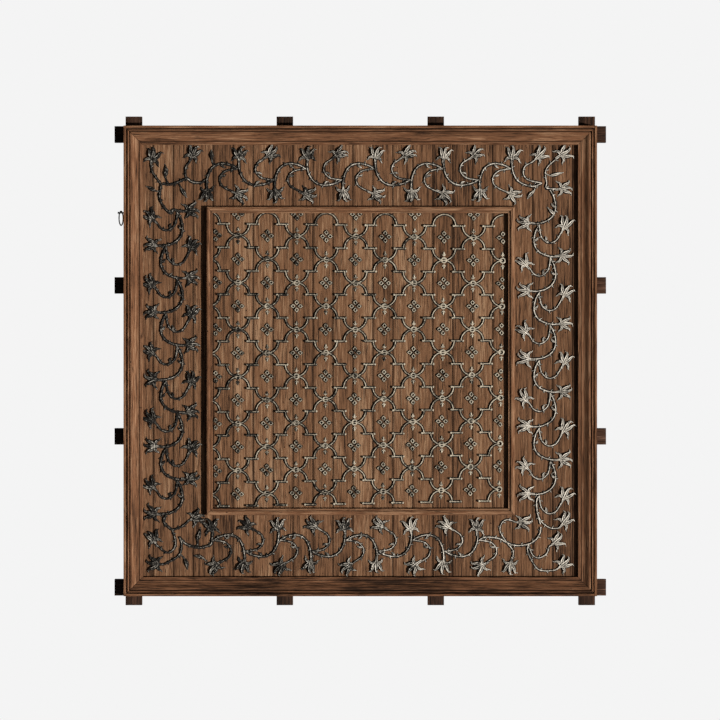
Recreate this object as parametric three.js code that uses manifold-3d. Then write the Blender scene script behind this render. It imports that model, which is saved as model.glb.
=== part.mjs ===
// A square wall panel of old wood: vertical boards on a grid of cross-lapped battens, framed by a
// broad mitred moulding inside thin edge boards, with a smaller moulded frame in the middle. Flat
// metal strapwork fills the middle field and flowering metal vines run round the border. An iron
// ring hangs on a pin in the left edge.
//
// All sizes are millimetres. The panel is laid out face up: x to the right, y up the panel and z
// out of the wall, with z = 0 on the backs of the battens. The last lines stand it upright.

import * as THREE from 'three';
import { mergeVertices } from 'three/addons/utils/BufferGeometryUtils.js';
import Module from 'manifold-3d';

const wasm = await Module();
wasm.setup();

// Clearance between pieces that touch
const FIT = 0.3;

// Frame
const FRAME_WIDTH = 1326;
const FRAME_HEIGHT = 1318;
const EDGE_BOARD_THICKNESS = 7;
const EDGE_BOARD_DEPTH = 38;

// Battens behind the boards. An inset goes from the frame's side to the outermost one's middle.
const BATTENS_EACH_WAY = 4;
const BATTEN_WIDTH = 46;
const BATTEN_THICKNESS = 30;
const BATTEN_OVERHANG = 27;
const BATTEN_INSET_X = 27;
const BATTEN_INSET_Y = 23;

// Boards
const BOARD_PITCH = 56;
const BOARD_THICKNESS = 14;
const BOARD_JOINT = 0.6;
const BOARD_SEAM_SHIFT = -21;
const NARROWEST_BOARD = 30;

// Moulding of the outer frame, from its outer side: groove, bead, quirk, wave, quirk, fillet
const GROOVE_WIDTH = 3;
const GROOVE_HEIGHT = 13;
const BEAD_WIDTH = 5;
const BEAD_HEIGHT = 23;
const OUTER_QUIRK_WIDTH = 2;
const OUTER_QUIRK_HEIGHT = 17;
const WAVE_WIDTH = 26;
const WAVE_CREST = 19;
const WAVE_FOOT = 11.5;
const WAVE_SWELL_SHARE = 1.37;
const WAVE_SWELL_AT = 0.27;
const WAVE_HOLLOW_SHARE = 0.7;
const WAVE_HOLLOW_AT = 0.54;
const INNER_QUIRK_WIDTH = 2;
const INNER_QUIRK_HEIGHT = 9;
const FILLET_WIDTH = 8;
const FILLET_HEIGHT = 11;

// Moulding of the inner frame: a round shoulder that steps down to a flat inner edge
const INNER_FRAME_SIZE = 865;
const SHOULDER_WIDTH = 12.5;
const SHOULDER_SIDE = 10;
const SHOULDER_HEIGHT = 16.5;
const LEDGE_WIDTH = 6;
const LEDGE_HEIGHT = 12;

// Strapwork of the middle field. Its rows and columns draw together a little, as laid by hand.
// Its first crossings would lie outside the field, and its last ones stop short of its far sides.
const STRAP_WIDTH = 4.8;
const STRAP_THICKNESS = 4.5;
const STRAP_COLUMNS = 10;
const STRAP_ROWS = 12;
const STRAP_BAR = 19.5;
const STRAP_LEFT_HIDDEN = 11;
const STRAP_RIGHT_SPACE = 13;
const STRAP_TOP_HIDDEN = 4;
const STRAP_BOTTOM_SPACE = 38.8;
const STRAP_BOTTOM_GAP = 5;
const STRAP_COLUMN_DRIFT = 0.014;
const STRAP_ROW_DRIFT = 0.03;
const STRAP_ROW_FALL = 8.7;

// Vines of the border
const STEM_WIDTH = 5.6;
const STEM_HEIGHT = 4.5;
const SIDE_STEM_SHARE = 0.8;
const FLOWER_HEIGHT = 7.2;
const FLOWER_PETALS = 5;
const STALK_OVERLAP = 2.2;

// The vines' drawing is in vine units, a share of the border that it has to fill
const VINE_UNITS_ACROSS_BORDER = 62;
const FLOWER_REACH = 8;
const FLOWER_WAIST = 3.8;

// How far joined metalwork starts below the boards before its underside is cut flat
const SINK = 0.5;

// Facets of the round forms
const MOULDING_CURVE_STEPS = 3;
const STRAP_ARC_STEPS = 2;
const PIN_SIDES = 8;
const RING_SECTION_SIDES = 5;
const RING_SIDES = 12;

// Ring on the left edge
const PIN_HEIGHT_ON_PANEL = 415;
const PIN_RADIUS = 2;
const PIN_LENGTH = 17;
const PIN_HEAD_RADIUS = 3.6;
const PIN_HEAD_LENGTH = 2.4;
const RING_RADIUS = 19.8;
const RING_WIRE_RADIUS = 1.7;
const RING_PLAY = 0.8;
const RING_TURN = 14;

// Levels above the backs of the battens
const boardsBack = BATTEN_THICKNESS + FIT;
const boardsFace = boardsBack + BOARD_THICKNESS;
const trimBack = boardsFace + FIT;

// The moulding starts inside the edge boards, and the inner frame leaves the border around it
const mouldingWidth = GROOVE_WIDTH + BEAD_WIDTH + OUTER_QUIRK_WIDTH + WAVE_WIDTH
  + INNER_QUIRK_WIDTH + FILLET_WIDTH;
const innerMouldingWidth = SHOULDER_WIDTH + LEDGE_WIDTH;
const insideHalfWidth = FRAME_WIDTH / 2 - EDGE_BOARD_THICKNESS - FIT;
const insideHalfHeight = FRAME_HEIGHT / 2 - EDGE_BOARD_THICKNESS - FIT;
const innerHalf = INNER_FRAME_SIZE / 2;
const fieldHalf = innerHalf - innerMouldingWidth;
const borderWidth = insideHalfWidth - mouldingWidth - innerHalf;
const borderHeight = insideHalfHeight - mouldingWidth - innerHalf;
const strapPitchX = (2 * fieldHalf + STRAP_LEFT_HIDDEN - STRAP_RIGHT_SPACE) / STRAP_COLUMNS;
const strapPitchY = (2 * fieldHalf + STRAP_TOP_HIDDEN - STRAP_BOTTOM_SPACE) / STRAP_ROWS;

const finish = {
  boards: new THREE.MeshStandardMaterial({ color: 0x75583f, roughness: 0.75, metalness: 0 }),
  mouldings: new THREE.MeshStandardMaterial({ color: 0x6e4f38, roughness: 0.7, metalness: 0 }),
  battens: new THREE.MeshStandardMaterial({ color: 0x2e2019, roughness: 0.9, metalness: 0 }),
  metal: new THREE.MeshStandardMaterial({ color: 0x9a9080, roughness: 0.4, metalness: 0.9 }),
  iron: new THREE.MeshStandardMaterial({ color: 0x1a1817, roughness: 0.6, metalness: 0.8 }),
};

const panel = new THREE.Group();

function addPiece(name, geometry, material, x = 0, y = 0, z = 0) {
  const piece = new THREE.Mesh(geometry, material);
  piece.name = name;
  piece.position.set(x, y, z);
  panel.add(piece);
  return piece;
}

// Joining and cutting of closed meshes

function toSolid(geometry) {
  const bare = geometry.clone();
  bare.deleteAttribute('normal');
  bare.deleteAttribute('uv');
  const merged = mergeVertices(bare, 1e-4);
  return new wasm.Manifold(new wasm.Mesh({
    numProp: 3,
    vertProperties: new Float32Array(merged.attributes.position.array),
    triVerts: new Uint32Array(merged.index.array),
  }));
}

function toGeometry(solid) {
  const mesh = solid.getMesh();
  const geometry = new THREE.BufferGeometry();
  geometry.setAttribute('position', new THREE.BufferAttribute(mesh.vertProperties, 3));
  geometry.setIndex(new THREE.BufferAttribute(mesh.triVerts, 1));
  geometry.computeVertexNormals();
  return geometry;
}

function prism(points, thickness) {
  const shape = new THREE.Shape(points.map(([x, y]) => new THREE.Vector2(x, y)));
  return new THREE.ExtrudeGeometry(shape, { depth: thickness, bevelEnabled: false });
}

// Battens: the ones across the panel run over the ones up it, each let in by half its thickness

function battenCentres(frameSize, inset) {
  const outermost = frameSize / 2 - inset;
  const centres = [];
  for (let k = 0; k < BATTENS_EACH_WAY; k += 1) {
    centres.push((2 * k / (BATTENS_EACH_WAY - 1) - 1) * outermost);
  }
  return centres;
}

const battenColumns = battenCentres(FRAME_WIDTH, BATTEN_INSET_X);
const battenRows = battenCentres(FRAME_HEIGHT, BATTEN_INSET_Y);

function battenGeometry(length, crossings, notchFromBack) {
  const half = length / 2;
  const notchHalf = BATTEN_WIDTH / 2 + FIT;
  const notchDepth = BATTEN_THICKNESS / 2 + FIT / 2;
  const back = [[-half, 0]];
  const front = [[half, BATTEN_THICKNESS]];
  if (notchFromBack) {
    for (const c of crossings) {
      back.push([c - notchHalf, 0], [c - notchHalf, notchDepth]);
      back.push([c + notchHalf, notchDepth], [c + notchHalf, 0]);
    }
  } else {
    const bottom = BATTEN_THICKNESS - notchDepth;
    for (const c of [...crossings].reverse()) {
      front.push([c + notchHalf, BATTEN_THICKNESS], [c + notchHalf, bottom]);
      front.push([c - notchHalf, bottom], [c - notchHalf, BATTEN_THICKNESS]);
    }
  }
  back.push([half, 0]);
  front.push([-half, BATTEN_THICKNESS]);
  const geometry = prism([...back, ...front], BATTEN_WIDTH);
  geometry.translate(0, 0, -BATTEN_WIDTH / 2);
  geometry.rotateX(Math.PI / 2);
  return geometry;
}

function addBattens() {
  battenRows.forEach((y, k) => {
    const across = battenGeometry(FRAME_WIDTH + 2 * BATTEN_OVERHANG, battenColumns, false);
    addPiece(`batten_across_${k + 1}`, across, finish.battens, 0, y);
  });
  battenColumns.forEach((x, k) => {
    const upright = battenGeometry(FRAME_HEIGHT + 2 * BATTEN_OVERHANG, battenRows, true);
    addPiece(`batten_upright_${k + 1}`, upright, finish.battens, x).rotation.z = Math.PI / 2;
  });
}

// Boards: one pitch wide, with the outermost ones cut to fit, and no sliver left at an edge

function boardSeams() {
  const seams = [];
  const reach = insideHalfWidth - NARROWEST_BOARD;
  const first = Math.ceil((-reach - BOARD_SEAM_SHIFT) / BOARD_PITCH);
  for (let x = BOARD_SEAM_SHIFT + first * BOARD_PITCH; x <= reach; x += BOARD_PITCH) {
    seams.push(x);
  }
  return seams;
}

function addBoards() {
  const edges = [-insideHalfWidth - BOARD_JOINT / 2, ...boardSeams(),
    insideHalfWidth + BOARD_JOINT / 2];
  for (let k = 0; k + 1 < edges.length; k += 1) {
    const width = edges[k + 1] - edges[k] - BOARD_JOINT;
    const board = new THREE.BoxGeometry(width, 2 * insideHalfHeight, BOARD_THICKNESS);
    const middle = (edges[k] + edges[k + 1]) / 2;
    addPiece(`board_${k + 1}`, board, finish.boards, middle, 0, boardsBack + BOARD_THICKNESS / 2);
  }
}

// Edge boards: the right one runs the full height, the top and bottom ones butt against it and
// cover the ends of the left one

function addEdgeBoards() {
  const level = boardsBack + EDGE_BOARD_DEPTH / 2;
  const railLength = FRAME_WIDTH - EDGE_BOARD_THICKNESS - FIT;
  const railX = -(EDGE_BOARD_THICKNESS + FIT) / 2;
  const railY = (FRAME_HEIGHT - EDGE_BOARD_THICKNESS) / 2;
  const stileX = (FRAME_WIDTH - EDGE_BOARD_THICKNESS) / 2;
  const box = (width, height) => new THREE.BoxGeometry(width, height, EDGE_BOARD_DEPTH);
  const rail = box(railLength, EDGE_BOARD_THICKNESS);
  addPiece('edge_board_top', rail, finish.mouldings, railX, railY, level);
  addPiece('edge_board_bottom', rail.clone(), finish.mouldings, railX, -railY, level);
  const left = box(EDGE_BOARD_THICKNESS, 2 * insideHalfHeight);
  addPiece('edge_board_left', left, finish.mouldings, -stileX, 0, level);
  const right = box(EDGE_BOARD_THICKNESS, FRAME_HEIGHT);
  addPiece('edge_board_right', right, finish.mouldings, stileX, 0, level);
}

// Mouldings: a profile drawn inward and upward from its outer foot, run along x and mitred

function outerProfile() {
  const beadLeft = GROOVE_WIDTH;
  const beadRadius = BEAD_WIDTH / 2;
  const waveLeft = beadLeft + BEAD_WIDTH + OUTER_QUIRK_WIDTH;
  const waveRight = waveLeft + WAVE_WIDTH;
  const filletLeft = waveRight + INNER_QUIRK_WIDTH;
  const profile = new THREE.Shape();
  profile.moveTo(0, 0);
  profile.lineTo(0, GROOVE_HEIGHT);
  profile.lineTo(beadLeft, GROOVE_HEIGHT);
  profile.lineTo(beadLeft, BEAD_HEIGHT - beadRadius);
  profile.absarc(beadLeft + beadRadius, BEAD_HEIGHT - beadRadius, beadRadius, Math.PI, 0, true);
  profile.lineTo(waveLeft - OUTER_QUIRK_WIDTH / 2, OUTER_QUIRK_HEIGHT);
  profile.lineTo(waveLeft, WAVE_CREST);
  profile.bezierCurveTo(
    waveLeft + WAVE_WIDTH * WAVE_SWELL_AT, WAVE_CREST * WAVE_SWELL_SHARE,
    waveLeft + WAVE_WIDTH * WAVE_HOLLOW_AT, WAVE_FOOT * WAVE_HOLLOW_SHARE,
    waveRight, WAVE_FOOT,
  );
  profile.lineTo(waveRight + INNER_QUIRK_WIDTH / 2, INNER_QUIRK_HEIGHT);
  profile.lineTo(filletLeft, FILLET_HEIGHT);
  profile.lineTo(filletLeft + FILLET_WIDTH, FILLET_HEIGHT);
  profile.lineTo(filletLeft + FILLET_WIDTH, 0);
  return profile;
}

function innerProfile() {
  const crest = SHOULDER_WIDTH / 2;
  const profile = new THREE.Shape();
  profile.moveTo(0, 0);
  profile.lineTo(0, SHOULDER_SIDE);
  profile.quadraticCurveTo(0, SHOULDER_HEIGHT, crest, SHOULDER_HEIGHT);
  profile.quadraticCurveTo(SHOULDER_WIDTH, SHOULDER_HEIGHT, SHOULDER_WIDTH, LEDGE_HEIGHT);
  profile.lineTo(innerMouldingWidth, LEDGE_HEIGHT);
  profile.lineTo(innerMouldingWidth, 0);
  return profile;
}

// The rail is drawn from 0 to 2 along its run, so that its ends come at -1 and +1 half lengths
function mitredRail(profile, halfLength) {
  const rail = new THREE.ExtrudeGeometry(profile, {
    depth: 2, bevelEnabled: false, curveSegments: MOULDING_CURVE_STEPS,
  });
  const corners = rail.attributes.position;
  for (let k = 0; k < corners.count; k += 1) {
    const inward = corners.getX(k);
    const end = halfLength - inward - FIT * Math.SQRT1_2;
    corners.setXYZ(k, (1 - corners.getZ(k)) * end, -inward, corners.getY(k));
  }
  rail.computeVertexNormals();
  return rail;
}

function addMouldedFrame(name, profile, halfWidth, halfHeight) {
  const sides = [
    ['top', 0, 0, halfHeight, halfWidth],
    ['left', 1, -halfWidth, 0, halfHeight],
    ['bottom', 2, 0, -halfHeight, halfWidth],
    ['right', 3, halfWidth, 0, halfHeight],
  ];
  for (const [side, quarterTurns, x, y, halfLength] of sides) {
    const rail = mitredRail(profile, halfLength);
    const piece = addPiece(`${name}_${side}`, rail, finish.mouldings, x, y, trimBack);
    piece.rotation.z = quarterTurns * Math.PI / 2;
  }
}

// Strapwork: every cell of the field has a half strap all round, and neighbours make whole ones.
// A strap goes from crossing to crossing as a quarter round, a level bar and a quarter round.

function crossing(i, j) {
  const columnShare = i / STRAP_COLUMNS;
  const rowShare = j / STRAP_ROWS;
  const left = -fieldHalf - STRAP_LEFT_HIDDEN;
  const top = fieldHalf + STRAP_TOP_HIDDEN - STRAP_ROW_FALL * columnShare;
  return [
    left + i * strapPitchX * (1 - STRAP_COLUMN_DRIFT * rowShare),
    top - j * strapPitchY * (1 - STRAP_ROW_DRIFT * columnShare),
  ];
}

function strapLine(upper, lower) {
  const run = lower[0] - upper[0];
  const side = Math.sign(run);
  const arcWidth = (Math.abs(run) - STRAP_BAR) / 2;
  const arcHeight = (upper[1] - lower[1]) / 2;
  const barLevel = upper[1] - arcHeight;
  const points = [];
  for (let k = 0; k <= STRAP_ARC_STEPS; k += 1) {
    const a = k / STRAP_ARC_STEPS * Math.PI / 2;
    points.push([upper[0] + side * arcWidth * Math.sin(a), barLevel + arcHeight * Math.cos(a)]);
  }
  for (let k = 0; k <= STRAP_ARC_STEPS; k += 1) {
    const a = k / STRAP_ARC_STEPS * Math.PI / 2;
    points.push([lower[0] - side * arcWidth * Math.cos(a), barLevel - arcHeight * Math.sin(a)]);
  }
  return points;
}

function cellOutline(i, j) {
  const top = crossing(i, j - 1);
  const right = crossing(i + 1, j);
  const bottom = crossing(i, j + 1);
  const left = crossing(i - 1, j);
  const sides = [
    strapLine(top, right),
    strapLine(right, bottom),
    strapLine(left, bottom).reverse(),
    strapLine(top, left).reverse(),
  ];
  return sides.flatMap((side) => side.slice(0, -1));
}

// The outline runs clockwise, so inward is to the right of each side
function insetOutline(outline, distance) {
  const count = outline.length;
  return outline.map((corner, k) => {
    const before = outline[(k + count - 1) % count];
    const after = outline[(k + 1) % count];
    const inwardOf = (a, b) => {
      const length = Math.hypot(b[0] - a[0], b[1] - a[1]);
      return [(b[1] - a[1]) / length, -(b[0] - a[0]) / length];
    };
    const n1 = inwardOf(before, corner);
    const n2 = inwardOf(corner, after);
    const reach = distance / (1 + n1[0] * n2[0] + n1[1] * n2[1]);
    return [corner[0] + reach * (n1[0] + n2[0]), corner[1] + reach * (n1[1] + n2[1])];
  });
}

// Half of the straps around one cell. Their section is a right triangle that stands upright on the
// line of the straps, and it starts below the boards so that the underside can be cut flat.
function halfStraps(i, j) {
  const line = cellOutline(i, j);
  const footShare = (STRAP_THICKNESS + SINK) / STRAP_THICKNESS;
  const edge = insetOutline(line, STRAP_WIDTH / 2 * footShare);
  const corners = [];
  line.forEach(([x, y], k) => {
    corners.push(x, y, -SINK, x, y, STRAP_THICKNESS, edge[k][0], edge[k][1], -SINK);
  });
  const faces = [];
  for (let k = 0; k < line.length; k += 1) {
    const here = 3 * k;
    const next = 3 * ((k + 1) % line.length);
    for (let side = 0; side < 3; side += 1) {
      const other = (side + 1) % 3;
      faces.push(here + side, here + other, next + other);
      faces.push(here + side, next + other, next + side);
    }
  }
  const geometry = new THREE.BufferGeometry();
  geometry.setAttribute('position', new THREE.Float32BufferAttribute(corners, 3));
  geometry.setIndex(faces);
  return geometry;
}

// The straps show inside the inner frame, up to their last crossings at the right. One that would
// start outside the lower left corner is left out.
function strapField() {
  const left = -fieldHalf + FIT;
  const top = fieldHalf - FIT;
  const bottom = -fieldHalf + STRAP_BOTTOM_GAP;
  const lastLeft = crossing(0, STRAP_ROWS);
  const lastRight = crossing(STRAP_COLUMNS, STRAP_ROWS);
  const firstRight = crossing(STRAP_COLUMNS, 0);
  return prism([
    [left, lastLeft[1] + STRAP_WIDTH / 4],
    [crossing(1, STRAP_ROWS)[0], bottom],
    [lastRight[0] + STRAP_WIDTH / 2, bottom],
    [firstRight[0] + STRAP_WIDTH / 2, top],
    [left, top],
  ], 2 * STRAP_THICKNESS);
}

// The cells run one past the field on every side, so that each strap has both of its halves
function addStrapwork() {
  const halves = [];
  for (let i = -1; i <= STRAP_COLUMNS + 1; i += 1) {
    for (let j = -1; j <= STRAP_ROWS + 2; j += 1) {
      if ((i + j) % 2 !== 0) {
        halves.push(toSolid(halfStraps(i, j)));
      }
    }
  }
  const straps = halves.reduce((whole, half) => whole.add(half)).intersect(toSolid(strapField()));
  addPiece('strapwork', toGeometry(straps), finish.metal, 0, 0, trimBack);
}

// Vines: a wave of stem that meets a junction at each change of side. Every junction sends a short
// stem with a flower to its own side and a curl with a flower to the other side. Each vine starts
// at a corner and ends at the next, and its places are in vine units: along the vine and across
// it, positive on the junction's own side. Places at a corner are to the right and up.

const vineUnit = Math.min(borderWidth, borderHeight) / VINE_UNITS_ACROSS_BORDER;
const borderMiddleX = innerHalf + borderWidth / 2;
const borderMiddleY = innerHalf + borderHeight / 2;

const HALF_WAVE = 33.5;
const JUNCTION_OFFSET = 5.3;
const WAVE = [[8.5, 9.4], [19.5, 10.4]];
const CURL = [[12.6, 3], [16.8, -5.6], [12, -15.4]];
const CURL_FLOWER_ACROSS = -20.6;
const SPUR_FLOWER = [-3, 19.5];

// How far each side's vine lies outside the middle of the border
const VINE_SHIFT = { top: 1.4, left: 2.8, bottom: -0.3, right: -1.4 };

const CORNERS = {
  topLeft: [-borderMiddleX - VINE_SHIFT.left * vineUnit,
    borderMiddleY + VINE_SHIFT.top * vineUnit],
  topRight: [borderMiddleX + VINE_SHIFT.right * vineUnit,
    borderMiddleY + VINE_SHIFT.top * vineUnit],
  bottomLeft: [-borderMiddleX - VINE_SHIFT.left * vineUnit,
    -borderMiddleY - VINE_SHIFT.bottom * vineUnit],
  bottomRight: [borderMiddleX + VINE_SHIFT.right * vineUnit,
    -borderMiddleY - VINE_SHIFT.bottom * vineUnit],
};

// lead and tail: from the corners to the first and last junction. lag: how much later the
// junctions of the second side come. curls: the first and last junction that send one, and how
// far along their flowers lie on the outer and on the inner side. before and after: the stem
// beyond the junctions, seen from the corners. Extras are further stems there.
const VINES = [
  {
    name: 'vine_top',
    from: 'topRight',
    to: 'topLeft',
    along: [-1, 0],
    outward: [0, 1],
    firstSide: 1,
    junctions: 10,
    curls: [0, 8],
    outerCurlFlower: 1.4,
    innerCurlFlower: -3.4,
    lead: 35.2,
    tail: 30.9,
    lag: -1.7,
    before: [[-2.6, -8.6], [-10.7, -11.9], [-19.9, -10.4], [-27.6, -5.8]],
    after: [[20.7, -7.7], [14.6, -4.3], [5.4, -8.1], [-2.2, -10], [-9, -9.2]],
    startExtras: [
      { stem: [[-2.6, -8.6], [-16.1, -5.8], [-21.4, 0.3], [-19.9, 8], [-12.3, 12.6]],
        flower: [-4.6, 19.5] },
    ],
    endExtras: [
      { stem: [[14.6, -4.3], [13.5, 1.1], [14.6, 8], [18.4, 13.3]], flower: [21.5, 21] },
    ],
  },
  {
    name: 'vine_left',
    from: 'topLeft',
    to: 'bottomLeft',
    along: [0, -1],
    outward: [-1, 0],
    firstSide: -1,
    junctions: 10,
    curls: [0, 8],
    outerCurlFlower: 3.4,
    innerCurlFlower: -2,
    lead: 39.1,
    tail: 30.4,
    lag: 0.9,
    before: [[-10.6, -9.9], [-12.2, -23.4], [-7.6, -33.3], [-0.7, -39]],
    after: [[-6.1, 21.2], [0.8, 15.6]],
    startExtras: [
      { stem: [[-10.6, -9.9], [-16, -2.7], [-19.8, 3.4], [-21, 11]], flower: [-18.7, 17.6] },
    ],
    endExtras: [
      { stem: [[0.8, 15.6], [10.8, 19.7], [16.9, 25]], flower: [24.6, 28.5] },
      { stem: [[0.8, 15.6], [3.9, 3.9], [1.6, -3.8], [-5.3, -6.8], [-15.2, 0.8]],
        flower: [-18.3, 7.7] },
    ],
  },
  {
    name: 'vine_bottom',
    from: 'bottomLeft',
    to: 'bottomRight',
    along: [1, 0],
    outward: [0, -1],
    firstSide: -1,
    junctions: 9,
    curls: [0, 8],
    outerCurlFlower: 0.2,
    innerCurlFlower: 0,
    lead: 42.9,
    tail: 65,
    lag: -1,
    before: [[7.5, 8.6], [14.6, 1.6], [26.8, -1.9], [33.7, -0.7]],
    after: [[-54.3, 8.5], [-45, 6.9], [-38.3, 3.1], [-28, 0.2], [-16.5, 1.6], [-9, 6.2],
      [-5, 12.6], [-4, 18.6]],
    startExtras: [
      { stem: [[7.5, 8.6], [10, 1.6], [7, -9.9], [-7.6, -18.7]], flower: [-16.8, -18.3] },
    ],
    endExtras: [
      { stem: [[-38.3, 3.1], [-31.8, -5], [-32.4, -12.6]], flower: [-34.4, -20.6] },
      { stem: [[-38.3, 3.1], [-44.8, 14.6], [-42.9, 23], [-37.5, 26.1], [-29.1, 23.8]],
        flower: [-21.4, 23] },
      { stem: [[-16.5, 1.6], [-16.9, -6.8], [-8.4, -22.1], [0, -25.2], [10.7, -24.4]],
        flower: [19.1, -18.3] },
      { stem: [[-16.5, 1.6], [-12.3, -9.1], [-6.1, -12.2], [1.5, -8.4], [4.6, -0.7]],
        flower: [12.2, 4.6] },
    ],
  },
  {
    name: 'vine_right',
    from: 'topRight',
    to: 'bottomRight',
    along: [0, -1],
    outward: [1, 0],
    firstSide: 1,
    junctions: 10,
    curls: [1, 9],
    outerCurlFlower: -1.3,
    innerCurlFlower: 3.4,
    lead: 17,
    tail: 49.9,
    lag: 0.7,
    before: [[2, -9]],
    after: [[-7.7, 34.5], [-6.1, 28.3], [-4.4, 21.5]],
    startExtras: [
      { stem: [[2, -9], [0.6, 1.9], [4.6, 9.5], [13, 16.4]], flower: [19.1, 21] },
    ],
    endExtras: [
      { stem: [[-6.1, 28.3], [-1.5, 22.2], [6.1, 17.6], [13.8, 17.6]], flower: [20.6, 25] },
    ],
  },
];

function atCorner(corner, [right, up]) {
  return [CORNERS[corner][0] + right * vineUnit, CORNERS[corner][1] + up * vineUnit];
}

function alongVine(vine, along, across) {
  const [x, y] = CORNERS[vine.from];
  return [
    x + along * vine.along[0] + across * vineUnit * vine.outward[0],
    y + along * vine.along[1] + across * vineUnit * vine.outward[1],
  ];
}

function junctionsOf(vine) {
  const start = CORNERS[vine.from];
  const end = CORNERS[vine.to];
  const length = Math.abs((end[0] - start[0]) + (end[1] - start[1]));
  const first = vine.lead * vineUnit;
  const step = (length - first - vine.tail * vineUnit) / (vine.junctions - 1);
  const junctions = [];
  for (let k = 0; k < vine.junctions; k += 1) {
    const second = k % 2 === 1;
    const along = first + k * step + (second ? vine.lag * vineUnit : 0);
    junctions.push({ along, step, side: second ? -vine.firstSide : vine.firstSide });
  }
  return junctions;
}

function placeFrom(vine, junction, [along, across]) {
  const stretch = junction.step / HALF_WAVE;
  return alongVine(vine, junction.along + along * stretch, junction.side * across);
}

// A stem turns only at its places
class StemPath extends THREE.Curve {
  constructor(places) {
    super();
    this.places = places.map(([x, y]) => new THREE.Vector3(x, y, -SINK));
  }

  getPointAt(share) {
    return this.places[Math.round(share * (this.places.length - 1))].clone();
  }

  getTangentAt(share) {
    const k = Math.round(share * (this.places.length - 1));
    const directions = [];
    if (k > 0) {
      directions.push(this.places[k].clone().sub(this.places[k - 1]).normalize());
    }
    if (k + 1 < this.places.length) {
      directions.push(this.places[k + 1].clone().sub(this.places[k]).normalize());
    }
    return directions.reduce((sum, direction) => sum.add(direction)).normalize();
  }
}

function stemSolid(places, share) {
  const half = STEM_WIDTH * share / 2;
  const ridge = STEM_HEIGHT * share + SINK;
  const section = new THREE.Shape([
    new THREE.Vector2(0, -half), new THREE.Vector2(0, half), new THREE.Vector2(-ridge, 0),
  ]);
  return toSolid(new THREE.ExtrudeGeometry(section, {
    steps: places.length - 1, extrudePath: new StemPath(places),
  }));
}

// A flower is a low star of petals with one more point, the stalk, that reaches back to its stem,
// also where it has been cut flat
function flowerSolid(centre, root) {
  const height = FLOWER_HEIGHT + SINK;
  const points = FLOWER_PETALS + 1;
  const distance = Math.hypot(root[0] - centre[0], root[1] - centre[1]);
  const stalk = (distance + STALK_OVERLAP) * height / FLOWER_HEIGHT;
  const star = new THREE.ConeGeometry(1, height, 2 * points, 1);
  const corners = star.attributes.position;
  for (let k = 0; k < corners.count; k += 1) {
    const angle = Math.atan2(corners.getX(k), corners.getZ(k));
    const turn = Math.round(angle / (Math.PI / points));
    let reach = (turn % 2 === 0 ? FLOWER_REACH : FLOWER_WAIST) * vineUnit;
    if (turn === 0) {
      reach = stalk;
    }
    corners.setXYZ(k, corners.getX(k) * reach, corners.getY(k), corners.getZ(k) * reach);
  }
  star.translate(0, height / 2, 0);
  star.rotateX(Math.PI / 2);
  star.rotateZ(Math.atan2(root[1] - centre[1], root[0] - centre[0]) + Math.PI / 2);
  star.translate(centre[0], centre[1], -SINK);
  return toSolid(star);
}

function addVine(vine) {
  const junctions = junctionsOf(vine);
  const onJunction = [0, JUNCTION_OFFSET];
  const wave = vine.before.map((place) => atCorner(vine.from, place));
  const solids = [];
  junctions.forEach((junction, k) => {
    const root = placeFrom(vine, junction, onJunction);
    wave.push(root);
    solids.push(flowerSolid(placeFrom(vine, junction, SPUR_FLOWER), root));
    if (k + 1 < junctions.length) {
      const stretch = (junctions[k + 1].along - junction.along) / junction.step;
      for (const [along, across] of WAVE) {
        wave.push(placeFrom(vine, junction, [along * stretch, across]));
      }
    }
    if (k >= vine.curls[0] && k <= vine.curls[1]) {
      const curl = [root, ...CURL.map((place) => placeFrom(vine, junction, place))];
      const along = junction.side > 0 ? vine.innerCurlFlower : vine.outerCurlFlower;
      const flower = placeFrom(vine, junction, [along, CURL_FLOWER_ACROSS]);
      solids.push(stemSolid(curl, SIDE_STEM_SHARE));
      solids.push(flowerSolid(flower, curl[curl.length - 1]));
    }
  });
  wave.push(...vine.after.map((place) => atCorner(vine.to, place)));
  solids.push(stemSolid(wave, 1));
  const extras = [[vine.from, vine.startExtras], [vine.to, vine.endExtras]];
  for (const [corner, stems] of extras) {
    for (const { stem, flower } of stems) {
      const places = stem.map((place) => atCorner(corner, place));
      solids.push(stemSolid(places, SIDE_STEM_SHARE));
      solids.push(flowerSolid(atCorner(corner, flower), places[places.length - 1]));
    }
  }
  const above = new THREE.BoxGeometry(FRAME_WIDTH, FRAME_HEIGHT, EDGE_BOARD_DEPTH);
  above.translate(0, 0, EDGE_BOARD_DEPTH / 2);
  const joined = solids.reduce((whole, solid) => whole.add(solid)).intersect(toSolid(above));
  addPiece(vine.name, toGeometry(joined), finish.metal, 0, 0, trimBack);
}

// Ring: it hangs loose on a headed pin that is driven into the left edge board

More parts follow.
